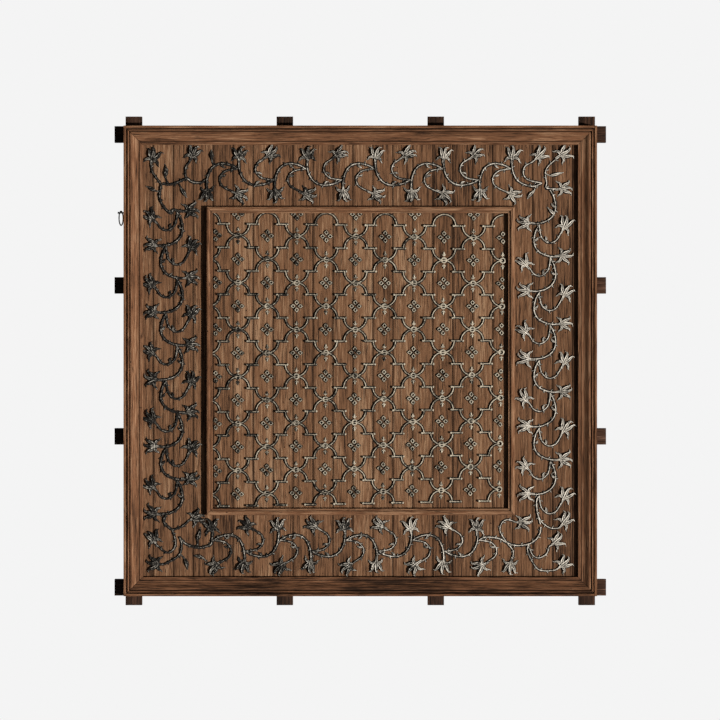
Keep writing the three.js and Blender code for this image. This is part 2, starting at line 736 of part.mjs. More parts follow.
function addRing() {
  const profile = [
    [0, 0], [PIN_RADIUS, 0], [PIN_RADIUS, PIN_LENGTH - PIN_HEAD_LENGTH],
    [PIN_HEAD_RADIUS, PIN_LENGTH - PIN_HEAD_LENGTH], [PIN_HEAD_RADIUS, PIN_LENGTH],
    [0, PIN_LENGTH],
  ].map(([r, y]) => new THREE.Vector2(r, y));
  const level = boardsBack + EDGE_BOARD_DEPTH / 2;
  const pin = new THREE.LatheGeometry(profile, PIN_SIDES);
  const edge = -FRAME_WIDTH / 2 - FIT;
  const pinPiece = addPiece('ring_pin', pin, finish.iron, edge, PIN_HEIGHT_ON_PANEL, level);
  pinPiece.rotation.z = Math.PI / 2;
  const ring = new THREE.TorusGeometry(
    RING_RADIUS, RING_WIRE_RADIUS, RING_SECTION_SIDES, RING_SIDES,
  );
  const drop = RING_RADIUS - RING_WIRE_RADIUS - PIN_RADIUS - RING_PLAY;
  const ringX = edge - (PIN_LENGTH - PIN_HEAD_LENGTH) / 2;
  const ringPiece = addPiece('ring', ring, finish.iron, ringX, PIN_HEIGHT_ON_PANEL - drop, level);
  ringPiece.rotation.y = Math.PI / 2 - THREE.MathUtils.degToRad(RING_TURN);
}

addBattens();
addBoards();
addEdgeBoards();
addMouldedFrame('frame_moulding', outerProfile(), insideHalfWidth, insideHalfHeight);
addMouldedFrame('inner_moulding', innerProfile(), innerHalf, innerHalf);
addStrapwork();
VINES.forEach(addVine);
addRing();

// Upright, with the origin on the back of the upper inner batten at its middle
const hangingBatten = battenRows[BATTENS_EACH_WAY - 2];
panel.rotation.x = Math.PI / 2;
panel.position.z = -hangingBatten;

const group = new THREE.Group();
group.add(panel);

export default group;
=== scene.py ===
import math
import random
from functools import partial

import bmesh
import bpy
from mathutils import Matrix, Vector, noise


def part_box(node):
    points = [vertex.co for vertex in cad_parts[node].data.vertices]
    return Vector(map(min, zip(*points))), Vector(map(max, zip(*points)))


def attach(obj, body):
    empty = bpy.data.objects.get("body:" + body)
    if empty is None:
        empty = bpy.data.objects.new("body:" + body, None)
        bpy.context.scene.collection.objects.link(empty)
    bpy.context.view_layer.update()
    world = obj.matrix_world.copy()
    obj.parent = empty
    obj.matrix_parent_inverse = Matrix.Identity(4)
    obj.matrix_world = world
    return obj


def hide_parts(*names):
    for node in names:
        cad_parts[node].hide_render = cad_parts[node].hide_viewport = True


bl_info = {
    "name": "Decorative Wood Panel",
    "version": (1, 0, 0),
    "blender": (4, 5, 0),
    "location": "View3D > Sidebar > Wood Panel",
    "description": "Old boards, mouldings, metal strapwork and flowering vines of a wall panel",
    "category": "Add Mesh",
}

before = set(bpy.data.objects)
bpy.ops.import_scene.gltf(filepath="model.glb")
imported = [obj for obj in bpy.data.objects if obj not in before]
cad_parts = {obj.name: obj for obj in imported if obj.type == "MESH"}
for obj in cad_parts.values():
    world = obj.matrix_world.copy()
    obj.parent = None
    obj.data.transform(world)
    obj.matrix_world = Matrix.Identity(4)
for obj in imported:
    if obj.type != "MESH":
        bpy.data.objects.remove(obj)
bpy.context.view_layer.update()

MM = 0.001
SHARP_ANGLE = math.radians(38)

# The panel's plane: x to the right, y up the panel, z out of the wall from the backs of the trim
panel_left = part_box("edge_board_left")[0].x
panel_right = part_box("edge_board_right")[1].x
panel_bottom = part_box("edge_board_bottom")[0].z
panel_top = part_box("edge_board_top")[1].z
panel_middle = (panel_bottom + panel_top) / 2
trim_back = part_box("strapwork")[1].y
STAND = Matrix.Translation((0, trim_back, panel_middle)) @ Matrix.Rotation(math.pi / 2, 4, "X")

# Half sizes of the frames, from their CAD pieces
moulding_half_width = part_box("frame_moulding_right")[1].x
moulding_half_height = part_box("frame_moulding_top")[1].z - panel_middle
inner_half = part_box("inner_moulding_right")[1].x
field_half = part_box("inner_moulding_right")[0].x
border_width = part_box("frame_moulding_right")[0].x - inner_half
border_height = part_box("frame_moulding_top")[0].z - panel_middle - inner_half

# Frame moulding from its outer side, as in the CAD pieces
GROOVE_WIDTH = 3 * MM
GROOVE_HEIGHT = 13 * MM
BEAD_WIDTH = 5 * MM
BEAD_HEIGHT = 23 * MM
OUTER_QUIRK_WIDTH = 2 * MM
OUTER_QUIRK_HEIGHT = 17 * MM
WAVE_WIDTH = 26 * MM
WAVE_CREST = 19 * MM
WAVE_FOOT = 11.5 * MM
WAVE_SWELL_SHARE = 1.37
WAVE_SWELL_AT = 0.27
WAVE_HOLLOW_SHARE = 0.7
WAVE_HOLLOW_AT = 0.54
INNER_QUIRK_WIDTH = 2 * MM
INNER_QUIRK_HEIGHT = 9 * MM
FILLET_WIDTH = 8 * MM
FILLET_HEIGHT = 11 * MM
FILLET_ROUND = 1.2 * MM

# Inner frame moulding
SHOULDER_WIDTH = 12.5 * MM
SHOULDER_SIDE = 10 * MM
SHOULDER_HEIGHT = 16.5 * MM
LEDGE_WIDTH = 6 * MM
LEDGE_HEIGHT = 12 * MM

# Clearance between neighbouring pieces
FIT = 0.3 * MM

# Strapwork, laid as in the CAD piece
STRAP_COLUMNS = 10
STRAP_ROWS = 12
STRAP_BAR = 19.5 * MM
STRAP_LEFT_HIDDEN = 11 * MM
STRAP_RIGHT_SPACE = 13 * MM
STRAP_TOP_HIDDEN = 4 * MM
STRAP_BOTTOM_SPACE = 38.8 * MM
STRAP_COLUMN_DRIFT = 0.014
STRAP_ROW_DRIFT = 0.03
STRAP_ROW_FALL = 8.7 * MM
ARC_STEPS = 8
strap_pitch_x = (2 * field_half + STRAP_LEFT_HIDDEN - STRAP_RIGHT_SPACE) / STRAP_COLUMNS
strap_pitch_y = (2 * field_half + STRAP_TOP_HIDDEN - STRAP_BOTTOM_SPACE) / STRAP_ROWS

# Vines: every size is in vine units, a share of the border
VINE_UNITS_ACROSS_BORDER = 62
vine_unit = min(border_width, border_height) / VINE_UNITS_ACROSS_BORDER
border_middle_x = inner_half + border_width / 2
border_middle_y = inner_half + border_height / 2
HALF_WAVE = 33.5
WAVE = [(-1.2, 5.3), (3.5, 8.2), (8.2, 9.9), (15.3, 10.9), (21.5, 9.4), (26.5, 5.4)]
SPUR = [(-3.6, 1.3), (-2.4, 7), (-2.2, 11.5)]
CURL = [(-0.5, 5.5), (4.9, 4.9), (11.2, 3.2), (15.6, -1.2), (16.8, -5.8), (14.6, -11.2),
        (9.5, -14.8)]
CURL_FLOWER_ACROSS = -20.6
SPUR_FLOWER = (-3, 19.5)

# How far each vine's middle line lies outward of the border's
VINE_SHIFT_TOP = 1.4
VINE_SHIFT_LEFT = 2.8
VINE_SHIFT_BOTTOM = -0.3
VINE_SHIFT_RIGHT = -1.4
vine_left_x = -border_middle_x - VINE_SHIFT_LEFT * vine_unit
vine_right_x = border_middle_x + VINE_SHIFT_RIGHT * vine_unit
vine_top_y = border_middle_y + VINE_SHIFT_TOP * vine_unit
vine_bottom_y = -border_middle_y - VINE_SHIFT_BOTTOM * vine_unit
CORNERS = {
    "top_left": (vine_left_x, vine_top_y),
    "top_right": (vine_right_x, vine_top_y),
    "bottom_left": (vine_left_x, vine_bottom_y),
    "bottom_right": (vine_right_x, vine_bottom_y),
}

# Each vine runs from one corner to the next. lead and tail: from the corners to the first and last
# junction. lag: how much later the junctions of the second side come. curls: the first and last
# junction that send one, and how far along their flowers lie on the outer and on the inner side.
# before and after: the stem beyond the junctions, from the corners.
VINES = [
    {
        "name": "vine_top",
        "from": "top_right",
        "to": "top_left",
        "along": (-1, 0),
        "outward": (0, 1),
        "first_side": 1,
        "junctions": 10,
        "curls": (0, 8),
        "outer_curl_flower": 1.4,
        "inner_curl_flower": -3.4,
        "lead": 35.2,
        "tail": 30.9,
        "lag": -1.7,
        "before": [(-2.6, -8.6), (-10.7, -11.9), (-19.9, -10.4), (-27.6, -5.8)],
        "after": [(20.7, -7.7), (14.6, -4.3), (5.4, -8.1), (-2.2, -10), (-9, -9.2)],
        "start_extras": [
            ([(-2.6, -8.6), (-16.1, -5.8), (-21.4, 0.3), (-19.9, 8), (-12.3, 12.6)],
             (-4.6, 19.5)),
        ],
        "end_extras": [
            ([(14.6, -4.3), (13.5, 1.1), (14.6, 8), (18.4, 13.3)], (21.5, 21)),
        ],
    },
    {
        "name": "vine_left",
        "from": "top_left",
        "to": "bottom_left",
        "along": (0, -1),
        "outward": (-1, 0),
        "first_side": -1,
        "junctions": 10,
        "curls": (0, 8),
        "outer_curl_flower": 3.4,
        "inner_curl_flower": -2,
        "lead": 39.1,
        "tail": 30.4,
        "lag": 0.9,
        "before": [(-10.6, -9.9), (-12.2, -23.4), (-7.6, -33.3), (-0.7, -39)],
        "after": [(-6.1, 21.2), (0.8, 15.6)],
        "start_extras": [
            ([(-10.6, -9.9), (-16, -2.7), (-19.8, 3.4), (-21, 11)], (-18.7, 17.6)),
        ],
        "end_extras": [
            ([(0.8, 15.6), (10.8, 19.7), (16.9, 25)], (24.6, 28.5)),
            ([(0.8, 15.6), (3.9, 3.9), (1.6, -3.8), (-5.3, -6.8), (-15.2, 0.8)],
             (-18.3, 7.7)),
        ],
    },
    {
        "name": "vine_bottom",
        "from": "bottom_left",
        "to": "bottom_right",
        "along": (1, 0),
        "outward": (0, -1),
        "first_side": -1,
        "junctions": 9,
        "curls": (0, 8),
        "outer_curl_flower": 0.2,
        "inner_curl_flower": 0,
        "lead": 42.9,
        "tail": 65,
        "lag": -1,
        "before": [(7.5, 8.6), (14.6, 1.6), (26.8, -1.9), (33.7, -0.7)],
        "after": [(-54.3, 8.5), (-45, 6.9), (-38.3, 3.1), (-28, 0.2), (-16.5, 1.6), (-9, 6.2),
                  (-5, 12.6), (-4, 18.6)],
        "start_extras": [
            ([(7.5, 8.6), (10, 1.6), (7, -9.9), (-7.6, -18.7)], (-16.8, -18.3)),
        ],
        "end_extras": [
            ([(-38.3, 3.1), (-31.8, -5), (-32.4, -12.6)], (-34.4, -20.6)),
            ([(-38.3, 3.1), (-44.8, 14.6), (-42.9, 23), (-37.5, 26.1), (-29.1, 23.8)],
             (-21.4, 23)),
            ([(-16.5, 1.6), (-16.9, -6.8), (-8.4, -22.1), (0, -25.2), (10.7, -24.4)],
             (19.1, -18.3)),
            ([(-16.5, 1.6), (-12.3, -9.1), (-6.1, -12.2), (1.5, -8.4), (4.6, -0.7)],
             (12.2, 4.6)),
        ],
    },
    {
        "name": "vine_right",
        "from": "top_right",
        "to": "bottom_right",
        "along": (0, -1),
        "outward": (1, 0),
        "first_side": 1,
        "junctions": 10,
        "curls": (1, 9),
        "outer_curl_flower": -1.3,
        "inner_curl_flower": 3.4,
        "lead": 17,
        "tail": 49.9,
        "lag": 0.7,
        "before": [(2, -9)],
        "after": [(-7.7, 34.5), (-6.1, 28.3), (-4.4, 21.5)],
        "start_extras": [
            ([(2, -9), (0.6, 1.9), (4.6, 9.5), (13, 16.4)], (19.1, 21)),
        ],
        "end_extras": [
            ([(-6.1, 28.3), (-1.5, 22.2), (6.1, 17.6), (13.8, 17.6)], (20.6, 25)),
        ],
    },
]


# Buds and leaves on thin stems near the corners: vine, corner and places from it
BUDS = [
    ("vine_left", "top_left", [(7.5, -9.6), (9.5, -13.5), (12, -18), (15.4, -23.4)]),
    ("vine_left", "top_left", [(-13, -17.3), (-16.5, -16.5), (-20, -14.6), (-26, -11.6)]),
    ("vine_left", "top_left", [(-3.5, -8.8), (-6.2, -2.7), (-5.4, 4.3), (-6.9, 10.4)]),
    ("vine_top", "top_left", [(41.8, 9.6), (40.9, 12.5), (40.4, 17), (39.9, 24.9)]),
    ("vine_top", "top_right", [(0.7, 1.2), (5.3, -1.2), (13, 0.4), (19.1, 2)]),
    ("vine_top", "top_right", [(-8.4, -11.9), (-10.7, -16.5), (-14.2, -20), (-17.6, -24.9)]),
    ("vine_right", "top_right", [(2.5, -33), (4.5, -35), (7, -37.5), (10, -41)]),
    ("vine_bottom", "bottom_left", [(9.2, -9.1), (12.5, -12.5), (15, -17.5), (16, -24.5)]),
    ("vine_bottom", "bottom_left", [(26.4, -1.6), (26, 5), (27.8, 11.5), (29.4, 18.6)]),
    ("vine_bottom", "bottom_left", [(35.9, -16.1), (32.5, -13.3), (28, -11), (21.5, -9.8)]),
]
# Half widths from the foot of a bud's stem to its tip, in vine units
BUD_SIZES = [0.9, 0.8, 1.0, 2.4, 2.2, 1.2, 0.3]


def length_property(name, description, default):
    return bpy.props.FloatProperty(name=name, description=description, default=default,
                                   unit="LENGTH")


def colour_property(name, description, default):
    return bpy.props.FloatVectorProperty(name=name, description=description, default=default,
                                         subtype="COLOR")


class PanelWood(bpy.types.PropertyGroup):
    """Sizes and colours of the boards, mouldings and battens"""
    arris: length_property("Worn arris", "How far the long edges are worn off", 0.6 * MM)
    wander: length_property("Edge wander", "How far a board's edge runs off its line", 0.5 * MM)
    unevenness: length_property("Unevenness", "How far a face dips below its level", 0.5 * MM)
    board_dark: colour_property(
        "Board dark", "Colour of the boards' dark grain", (0.016, 0.008, 0.0045))
    board_middle: colour_property(
        "Board middle", "Colour of the boards' face", (0.180, 0.088, 0.044))
    board_light: colour_property(
        "Board light", "Colour of the boards' worn grain", (0.33, 0.195, 0.11))
    moulding_dark: colour_property(
        "Moulding dark", "Colour of the mouldings' dark grain", (0.02, 0.0095, 0.005))
    moulding_middle: colour_property(
        "Moulding middle", "Colour of the mouldings", (0.172, 0.077, 0.037))
    moulding_light: colour_property(
        "Moulding light", "Colour of the mouldings' crests", (0.30, 0.165, 0.09))
    batten_dark: colour_property(
        "Batten dark", "Colour of the battens' dark grain", (0.006, 0.004, 0.003))
    batten_middle: colour_property("Batten middle", "Colour of the battens", (0.05, 0.024, 0.014))
    batten_light: colour_property(
        "Batten light", "Colour of the battens' worn grain", (0.16, 0.085, 0.055))


class PanelMetal(bpy.types.PropertyGroup):
    """Sizes and colours of the strapwork, the vines and the ring"""
    strap_width: length_property("Strap width", "Width of a strip without its foot", 4.8 * MM)
    strap_height: length_property("Strap height", "Height of a strip's round crown", 4.6 * MM)
    bar_overhang: length_property(
        "Bar overhang", "How far a level bar runs past its strips", 5.5 * MM)
    knob_size: length_property("Knob size", "Side of the square knob at a bar's end", 6.2 * MM)
    ring_diameter: length_property(
        "Crossing ring", "Outer diameter of the ring at a crossing", 18.5 * MM)
    ring_hole: length_property("Ring hole", "Diameter of the hole in a crossing ring", 8.6 * MM)
    bud_distance: length_property(
        "Bud distance", "From a crossing to its upper and lower bud", 17 * MM)
    petal_size: length_property("Rosette petal", "Width of one petal of a rosette", 15.5 * MM)
    petal_distance: length_property(
        "Petal distance", "From a rosette's middle to a petal's", 10.4 * MM)
    stem_width: length_property("Stem width", "Width of a vine's main stem", 5.0 * MM)
    flower_scale: length_property("Flower scale", "One unit of a flower's drawing", 2.8 * MM)
    # The two lighter colours are rubbed metal and also a painted highlight on the crests. The dark
    # colour is tarnished metal and also painted shade on the flanks and towards the left.
    bright: colour_property("Bright metal", "Colour of the rubbed metal", (0.62, 0.57, 0.49))
    strap_rubbed_and_highlight: colour_property(
        "Bright straps", "Colour of the rubbed strapwork", (0.50, 0.44, 0.34))
    tarnish: colour_property("Tarnish", "Colour of the tarnished metal", (0.008, 0.0065, 0.005))
    iron: colour_property("Iron", "Colour of the black iron", (0.006, 0.005, 0.0045))


class PanelStage(bpy.types.PropertyGroup):
    """Camera and light"""
    view_width: length_property(
        "View width", "Width that the picture shows at the panel's face", 2.016)
    view_distance: length_property("View distance", "From the camera to the panel's face", 14.0)
    view_right: length_property(
        "View right", "How far the camera stands right of the middle", -0.0008)
    view_up: length_property("View up", "How far the camera stands above the middle", 0.0024)
    key_strength: bpy.props.FloatProperty(
        name="Key strength", description="Strength of the light from the right", default=4.65)
    fill_strength: bpy.props.FloatProperty(
        name="Fill strength", description="Strength of the light from all round", default=0.14)
    background: colour_property("Background", "Colour behind the panel", (0.905, 0.905, 0.905))


# Helpers for shapes

# Lengths into which the line of a petal, leaf or bud is divided
HORN_STEPS = 7


def at_crossing(i, j):
    """Where the crossing i from the left and j from the top lies."""
    column_share = i / STRAP_COLUMNS
    row_share = j / STRAP_ROWS
    left = -field_half - STRAP_LEFT_HIDDEN
    top = field_half + STRAP_TOP_HIDDEN - STRAP_ROW_FALL * column_share
    x = left + i * strap_pitch_x * (1 - STRAP_COLUMN_DRIFT * row_share)
    y = top - j * strap_pitch_y * (1 - STRAP_ROW_DRIFT * column_share)
    return x, y


def smooth_line(places, step):
    """Points about a step apart on a smooth curve through the given places."""
    points = [Vector(place) for place in places]
    padded = [2 * points[0] - points[1], *points, 2 * points[-1] - points[-2]]
    line = []
    for a, b, c, d in zip(padded, padded[1:], padded[2:], padded[3:]):
        count = max(1, round((c - b).length / step))
        for k in range(count):
            t = k / count
            line.append(b + 0.5 * t * ((c - a) + t * (
                (2 * a - 5 * b + 4 * c - d) + t * (3 * b - a - 3 * c + d))))
    line.append(points[-1])
    return line


def sweep(lines, section, steepness):
    """A closed section swept along lines of (x, y, z, size). Its y is out of the wall.

    The steeper the crest, the narrower the part of the section that is lighter, from rubbed wear and a
    painted highlight.
    """
    outline = bpy.data.curves.new("section", "CURVE")
    outline.dimensions = "2D"
    edge = outline.splines.new("POLY")
    edge.points.add(len(section) - 1)
    for point, (x, y) in zip(edge.points, section):
        point.co = (x, y, 0, 1)
    edge.use_cyclic_u = True
    outline_object = add_object("section", outline)
    curve = bpy.data.curves.new("lines", "CURVE")
    curve.dimensions = "3D"
    curve.twist_mode = "Z_UP"
    curve.bevel_mode = "OBJECT"
    curve.bevel_object = outline_object
    curve.use_fill_caps = True
    for line in lines:
        spline = curve.splines.new("POLY")
        spline.points.add(len(line) - 1)
        for point, (x, y, z, size) in zip(spline.points, line):
            point.co = (x, y, z, 1)
            point.radius = size
    lines_object = add_object("lines", curve)
    depsgraph = bpy.context.evaluated_depsgraph_get()
    mesh = bpy.data.meshes.new_from_object(lines_object.evaluated_get(depsgraph))
    for used in (lines_object, outline_object):
        data = used.data
        bpy.data.objects.remove(used)
        bpy.data.curves.remove(data)
    crown = max(y for x, y in section)
    crest = mesh.attributes.new("crest", "FLOAT", "POINT")
    for k in range(len(mesh.vertices)):
        crest.data[k].value = (section[k % len(section)][1] / crown) ** steepness
    bm = bmesh.new()
    bm.from_mesh(mesh)
    bpy.data.meshes.remove(mesh)
    return bm


def half_round(sides):
    """Section with a flat foot, one wide each way and one high."""
    return [(-math.cos(math.pi * k / sides), math.sin(math.pi * k / sides))
            for k in range(sides + 1)]


def crowned_section():
    """Section with a thin foot and a steep round crown. The crown is one wide each way."""
    half = [(-1.75, 0), (-1.65, 0.06), (-0.98, 0.1), (-0.88, 0.42), (-0.66, 0.74), (-0.36, 0.94)]
    return [*half, (0, 1), *((-x, y) for x, y in reversed(half))]


def stamp(bm, shape, matrix):
    """Adds a copy of a mesh to bm."""
    before = len(bm.verts)
    bm.from_mesh(shape)
    bm.verts.ensure_lookup_table()
    bmesh.ops.transform(bm, matrix=matrix, verts=bm.verts[before:])


def to_shape(bm):
    """A mesh to be stamped. Each vertex knows how high it stands in it."""
    bmesh.ops.recalc_face_normals(bm, faces=bm.faces)
    crown = max(vert.co.z for vert in bm.verts)
    crest = bm.verts.layers.float.new("crest")
    for vert in bm.verts:
        vert[crest] = vert.co.z / crown
    shape = bpy.data.meshes.new("shape")
    bm.to_mesh(shape)
    bm.free()
    return shape


def add_object(name, data):
    item = bpy.data.objects.new(name, data)
    bpy.context.scene.collection.objects.link(item)
    return item


def add_piece(name, bm, material, nodes=()):
    """Makes the finished piece, which rides on the panel and stands for its CAD nodes."""
    mesh = bpy.data.meshes.new(name)
    bm.to_mesh(mesh)
    bm.free()
    mesh.materials.append(material)
    mesh.shade_smooth()
    mesh.set_sharp_from_angle(angle=SHARP_ANGLE)
    piece = add_object(name, mesh)
    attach(piece, "root")
    if nodes:
        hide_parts(*nodes)


def add_metalwork(name, bm, material, nodes=()):
    """Stands up what was made in the panel's plane, and finishes it."""
    bmesh.ops.transform(bm, matrix=STAND, verts=bm.verts)
    add_piece(name, bm, material, nodes)


def edges_along(bm, axis, shortest):
    """Edges that run along x, y or z, 0 to 2, and are longer than given."""
    found = []
    for edge in bm.edges:
        run = edge.verts[1].co - edge.verts[0].co
        if abs(run[axis]) > shortest and abs(run[axis]) > 0.99 * run.length:
            found.append(edge)
    return found


def only(kind, geometry):
    return [item for item in geometry if isinstance(item, kind)]


def extrude(bm, outline, run):
    """Makes a solid of a closed outline of vertices."""
    moved = bmesh.ops.extrude_face_region(bm, geom=[bm.faces.new(outline)])
    bmesh.ops.translate(bm, vec=run, verts=only(bmesh.types.BMVert, moved["geom"]))
    bmesh.ops.recalc_face_normals(bm, faces=bm.faces)


def bevel(bm, edges, offset, segments=2):
    bmesh.ops.bevel(bm, geom=edges, offset=offset, segments=segments, profile=0.5,
                    affect="EDGES", material=-1)


def divide(bm, edges, cuts):
    bmesh.ops.subdivide_edges(bm, edges=edges, cuts=cuts, use_grid_fill=True)


def cut(bm, place, normal, clear_outer=True):
    """Cuts along a plane. Returns what lies in the cut."""
    done = bmesh.ops.bisect_plane(bm, geom=bm.verts[:] + bm.edges[:] + bm.faces[:],
                                  plane_co=place, plane_no=normal, clear_outer=clear_outer)
    return done["geom_cut"]


def spin_round(bm, geometry, steps):
    """Turns geometry all round the z axis."""
    bmesh.ops.spin(bm, geom=geometry, cent=(0, 0, 0), axis=(0, 0, 1), angle=2 * math.pi,
                   steps=steps, use_merge=True)
    bmesh.ops.remove_doubles(bm, verts=bm.verts, dist=1e-6)


def hoop(radius, wire, sides, steps):
    """A ring of round wire about the z axis."""
    bm = bmesh.new()
    bmesh.ops.create_circle(bm, segments=sides, radius=wire)
    bmesh.ops.rotate(bm, matrix=Matrix.Rotation(math.pi / 2, 3, "X"), verts=bm.verts)
    bmesh.ops.translate(bm, vec=(radius, 0, 0), verts=bm.verts)
    spin_round(bm, bm.verts[:] + bm.edges[:], steps)
    return bm


def swing(x, y, z):
    """Smooth noise between about 0 and 1."""
    return 0.5 + 0.5 * noise.noise(Vector((x, y, z)))


def write_grain(bm, across, through, along, seed, tone, dirt_of):
    """Gives each vertex its place in the timber, the piece's tone, and its dirt, with painted shade in
    creases.
    """
    grain = bm.verts.layers.float_vector.new("grain")
    tones = bm.verts.layers.float.new("tone")
    dirt = bm.verts.layers.float.new("dirt")
    for vert in bm.verts:
        co = vert.co
        vert[grain] = Vector((co[across] + seed * 1.37, co[through] + seed * 0.61,
                              co[along] + seed * 2.11))
        vert[tones] = tone
        vert[dirt] = dirt_of(vert)


# Helpers for materials

def add_node(tree, kind, **settings):
    node = tree.nodes.new(kind)
    for name, value in settings.items():
        setattr(node, name, value)
    return node


def feed(tree, node, **inputs):
    """Sets or links inputs, named in lower case with _ for spaces."""
    for name, value in inputs.items():
        socket = next(s for s in node.inputs
                      if s.enabled and s.name.lower().replace(" ", "_") == name)
        if isinstance(value, bpy.types.NodeSocket):
            tree.links.new(value, socket)
        else:
            socket.default_value = value


def arithmetic(tree, operation, a, b=0.0, clamp=False):
    node = add_node(tree, "ShaderNodeMath", operation=operation, use_clamp=clamp)
    for socket, value in zip(node.inputs, (a, b)):
        if isinstance(value, bpy.types.NodeSocket):
            tree.links.new(value, socket)
        else:
            socket.default_value = value
    return node.outputs[0]


def stretched_noise(tree, place, scale, detail=3.0, roughness=0.55):
    """Noise with its own scale along each axis of the place."""
    stretch = add_node(tree, "ShaderNodeMapping")
    feed(tree, stretch, vector=place)
    stretch.inputs["Scale"].default_value = scale
    texture = add_node(tree, "ShaderNodeTexNoise")
    feed(tree, texture, vector=stretch.outputs[0], scale=1.0, detail=detail,
         roughness=roughness)
    return texture.outputs["Fac"]


def centred(tree, value, weight):
    """A noise moved to swing about 0, times the weight."""
    return arithmetic(tree, "MULTIPLY", arithmetic(tree, "SUBTRACT", value, 0.5), weight)


def between(tree, value, low, high):
    """0 below low, 1 above high."""
    node = add_node(tree, "ShaderNodeMapRange", interpolation_type="SMOOTHSTEP")
    feed(tree, node, value=value, from_min=low, from_max=high)
    return node.outputs[0]


def blend_colours(tree, share, a, b, blend_type="MIX"):
    node = add_node(tree, "ShaderNodeMix", data_type="RGBA", blend_type=blend_type)
    for index, value in ((0, share), (6, a), (7, b)):
        if isinstance(value, bpy.types.NodeSocket):
            tree.links.new(value, node.inputs[index])
        else:
            node.inputs[index].default_value = value
    return node.outputs[2]


def grain_lines(tree, place, scale, thickness):
    """Thin lines where a stretched noise crosses its middle, broken here and there."""
    waves = stretched_noise(tree, place, scale, 2, 0.55)
    off = arithmetic(tree, "ABSOLUTE", arithmetic(tree, "SUBTRACT", waves, 0.5))
    line = arithmetic(tree, "SUBTRACT", 1.0, between(tree, off, thickness * 0.3, thickness))
    breaks = tuple(value * 1.7 for value in scale)
    shown = between(tree, stretched_noise(tree, place, breaks, 1, 0.5), 0.44, 0.6)
    return arithmetic(tree, "MULTIPLY", line, shown)


def new_group(name, inputs, outputs):
    """An empty node group. inputs and outputs are (name, socket type)."""
    group = bpy.data.node_groups.new(name, "ShaderNodeTree")
    for label, kind in inputs:
        group.interface.new_socket(name=label, in_out="INPUT", socket_type=kind)
    for label, kind in outputs:
        group.interface.new_socket(name=label, in_out="OUTPUT", socket_type=kind)
    entry = group.nodes.new("NodeGroupInput")
    leave = group.nodes.new("NodeGroupOutput")
    return group, entry.outputs, leave.inputs


def old_timber_group():
    """Grain, pores, worm holes, dirt and painted shade in creases of old timber."""
    group, given, result = new_group(
        "old timber",
        [("Place", "NodeSocketVector"), ("Tone", "NodeSocketFloat"),
         ("Dirt", "NodeSocketFloat"), ("Dark", "NodeSocketColor"),
         ("Middle", "NodeSocketColor"), ("Light", "NodeSocketColor"),
         ("Figure", "NodeSocketFloat")],
        [("Colour", "NodeSocketColor"), ("Roughness", "NodeSocketFloat"),
         ("Height", "NodeSocketFloat")])
    calc = partial(arithmetic, group)
    place = given["Place"]
    fibres = stretched_noise(group, place, (340, 340, 13), 3, 0.7)
    streaks = stretched_noise(group, place, (150, 150, 7.5), 3, 0.65)
    bands = stretched_noise(group, place, (46, 46, 2.2), 2, 0.5)
    patches = stretched_noise(group, place, (10, 10, 5), 2, 0.5)
    figure = centred(group, fibres, 2.8)
    for layer, weight in ((streaks, 0.9), (bands, 0.3), (patches, 1.0)):
        figure = calc("ADD", figure, centred(group, layer, weight))
    figure = calc("MULTIPLY", figure, given["Figure"])
    value = calc("ADD", calc("ADD", figure, 0.5), given["Tone"])
    darker = between(group, value, -0.35, 0.5)
    lighter = between(group, value, 0.5, 1.05)
    colour = blend_colours(group, darker, given["Dark"], given["Middle"])
    colour = blend_colours(group, lighter, colour, given["Light"])
    pores = between(group, stretched_noise(group, place, (420, 420, 34), 2, 0.6), 0.57, 0.66)
    checks = grain_lines(group, place, (60, 60, 2.6), 0.016)
    cracks = grain_lines(group, place, (120, 120, 6.5), 0.03)
    checks = calc("MAXIMUM", checks, calc("MULTIPLY", cracks, 0.75))
    spots = add_node(group, "ShaderNodeTexVoronoi", feature="F1")
    feed(group, spots, vector=place, scale=38.0, randomness=1.0)
    near = calc("SUBTRACT", 1.0, between(group, spots.outputs["Distance"], 0.05, 0.11))
    pick = add_node(group, "ShaderNodeSeparateColor")
    group.links.new(spots.outputs["Color"], pick.inputs[0])
    chosen = calc("GREATER_THAN", pick.outputs[0], 0.8)
    holes = calc("MULTIPLY", near, chosen)
    dirt = calc("POWER", given["Dirt"], 2.5)
    dirt = calc("MULTIPLY", dirt, calc("ADD", streaks, 0.3), clamp=True)
    dark_marks = calc("MAXIMUM", calc("MULTIPLY", pores, 0.3), calc("MULTIPLY", checks, 0.7))
    dark_marks = calc("MAXIMUM", dark_marks, calc("MULTIPLY", holes, 0.9))
    dark_marks = calc("MAXIMUM", dark_marks, dirt, clamp=True)
    colour = blend_colours(group, dark_marks, colour, given["Dark"])
    group.links.new(colour, result["Colour"])
    sheen = calc("SUBTRACT", 0.86, calc("MULTIPLY", lighter, 0.22))
    group.links.new(sheen, result["Roughness"])
    height = calc("ADD", calc("MULTIPLY", fibres, 0.5), streaks)
    height = calc("SUBTRACT", height, calc("MULTIPLY", dark_marks, 0.8))
    group.links.new(height, result["Height"])
    return group


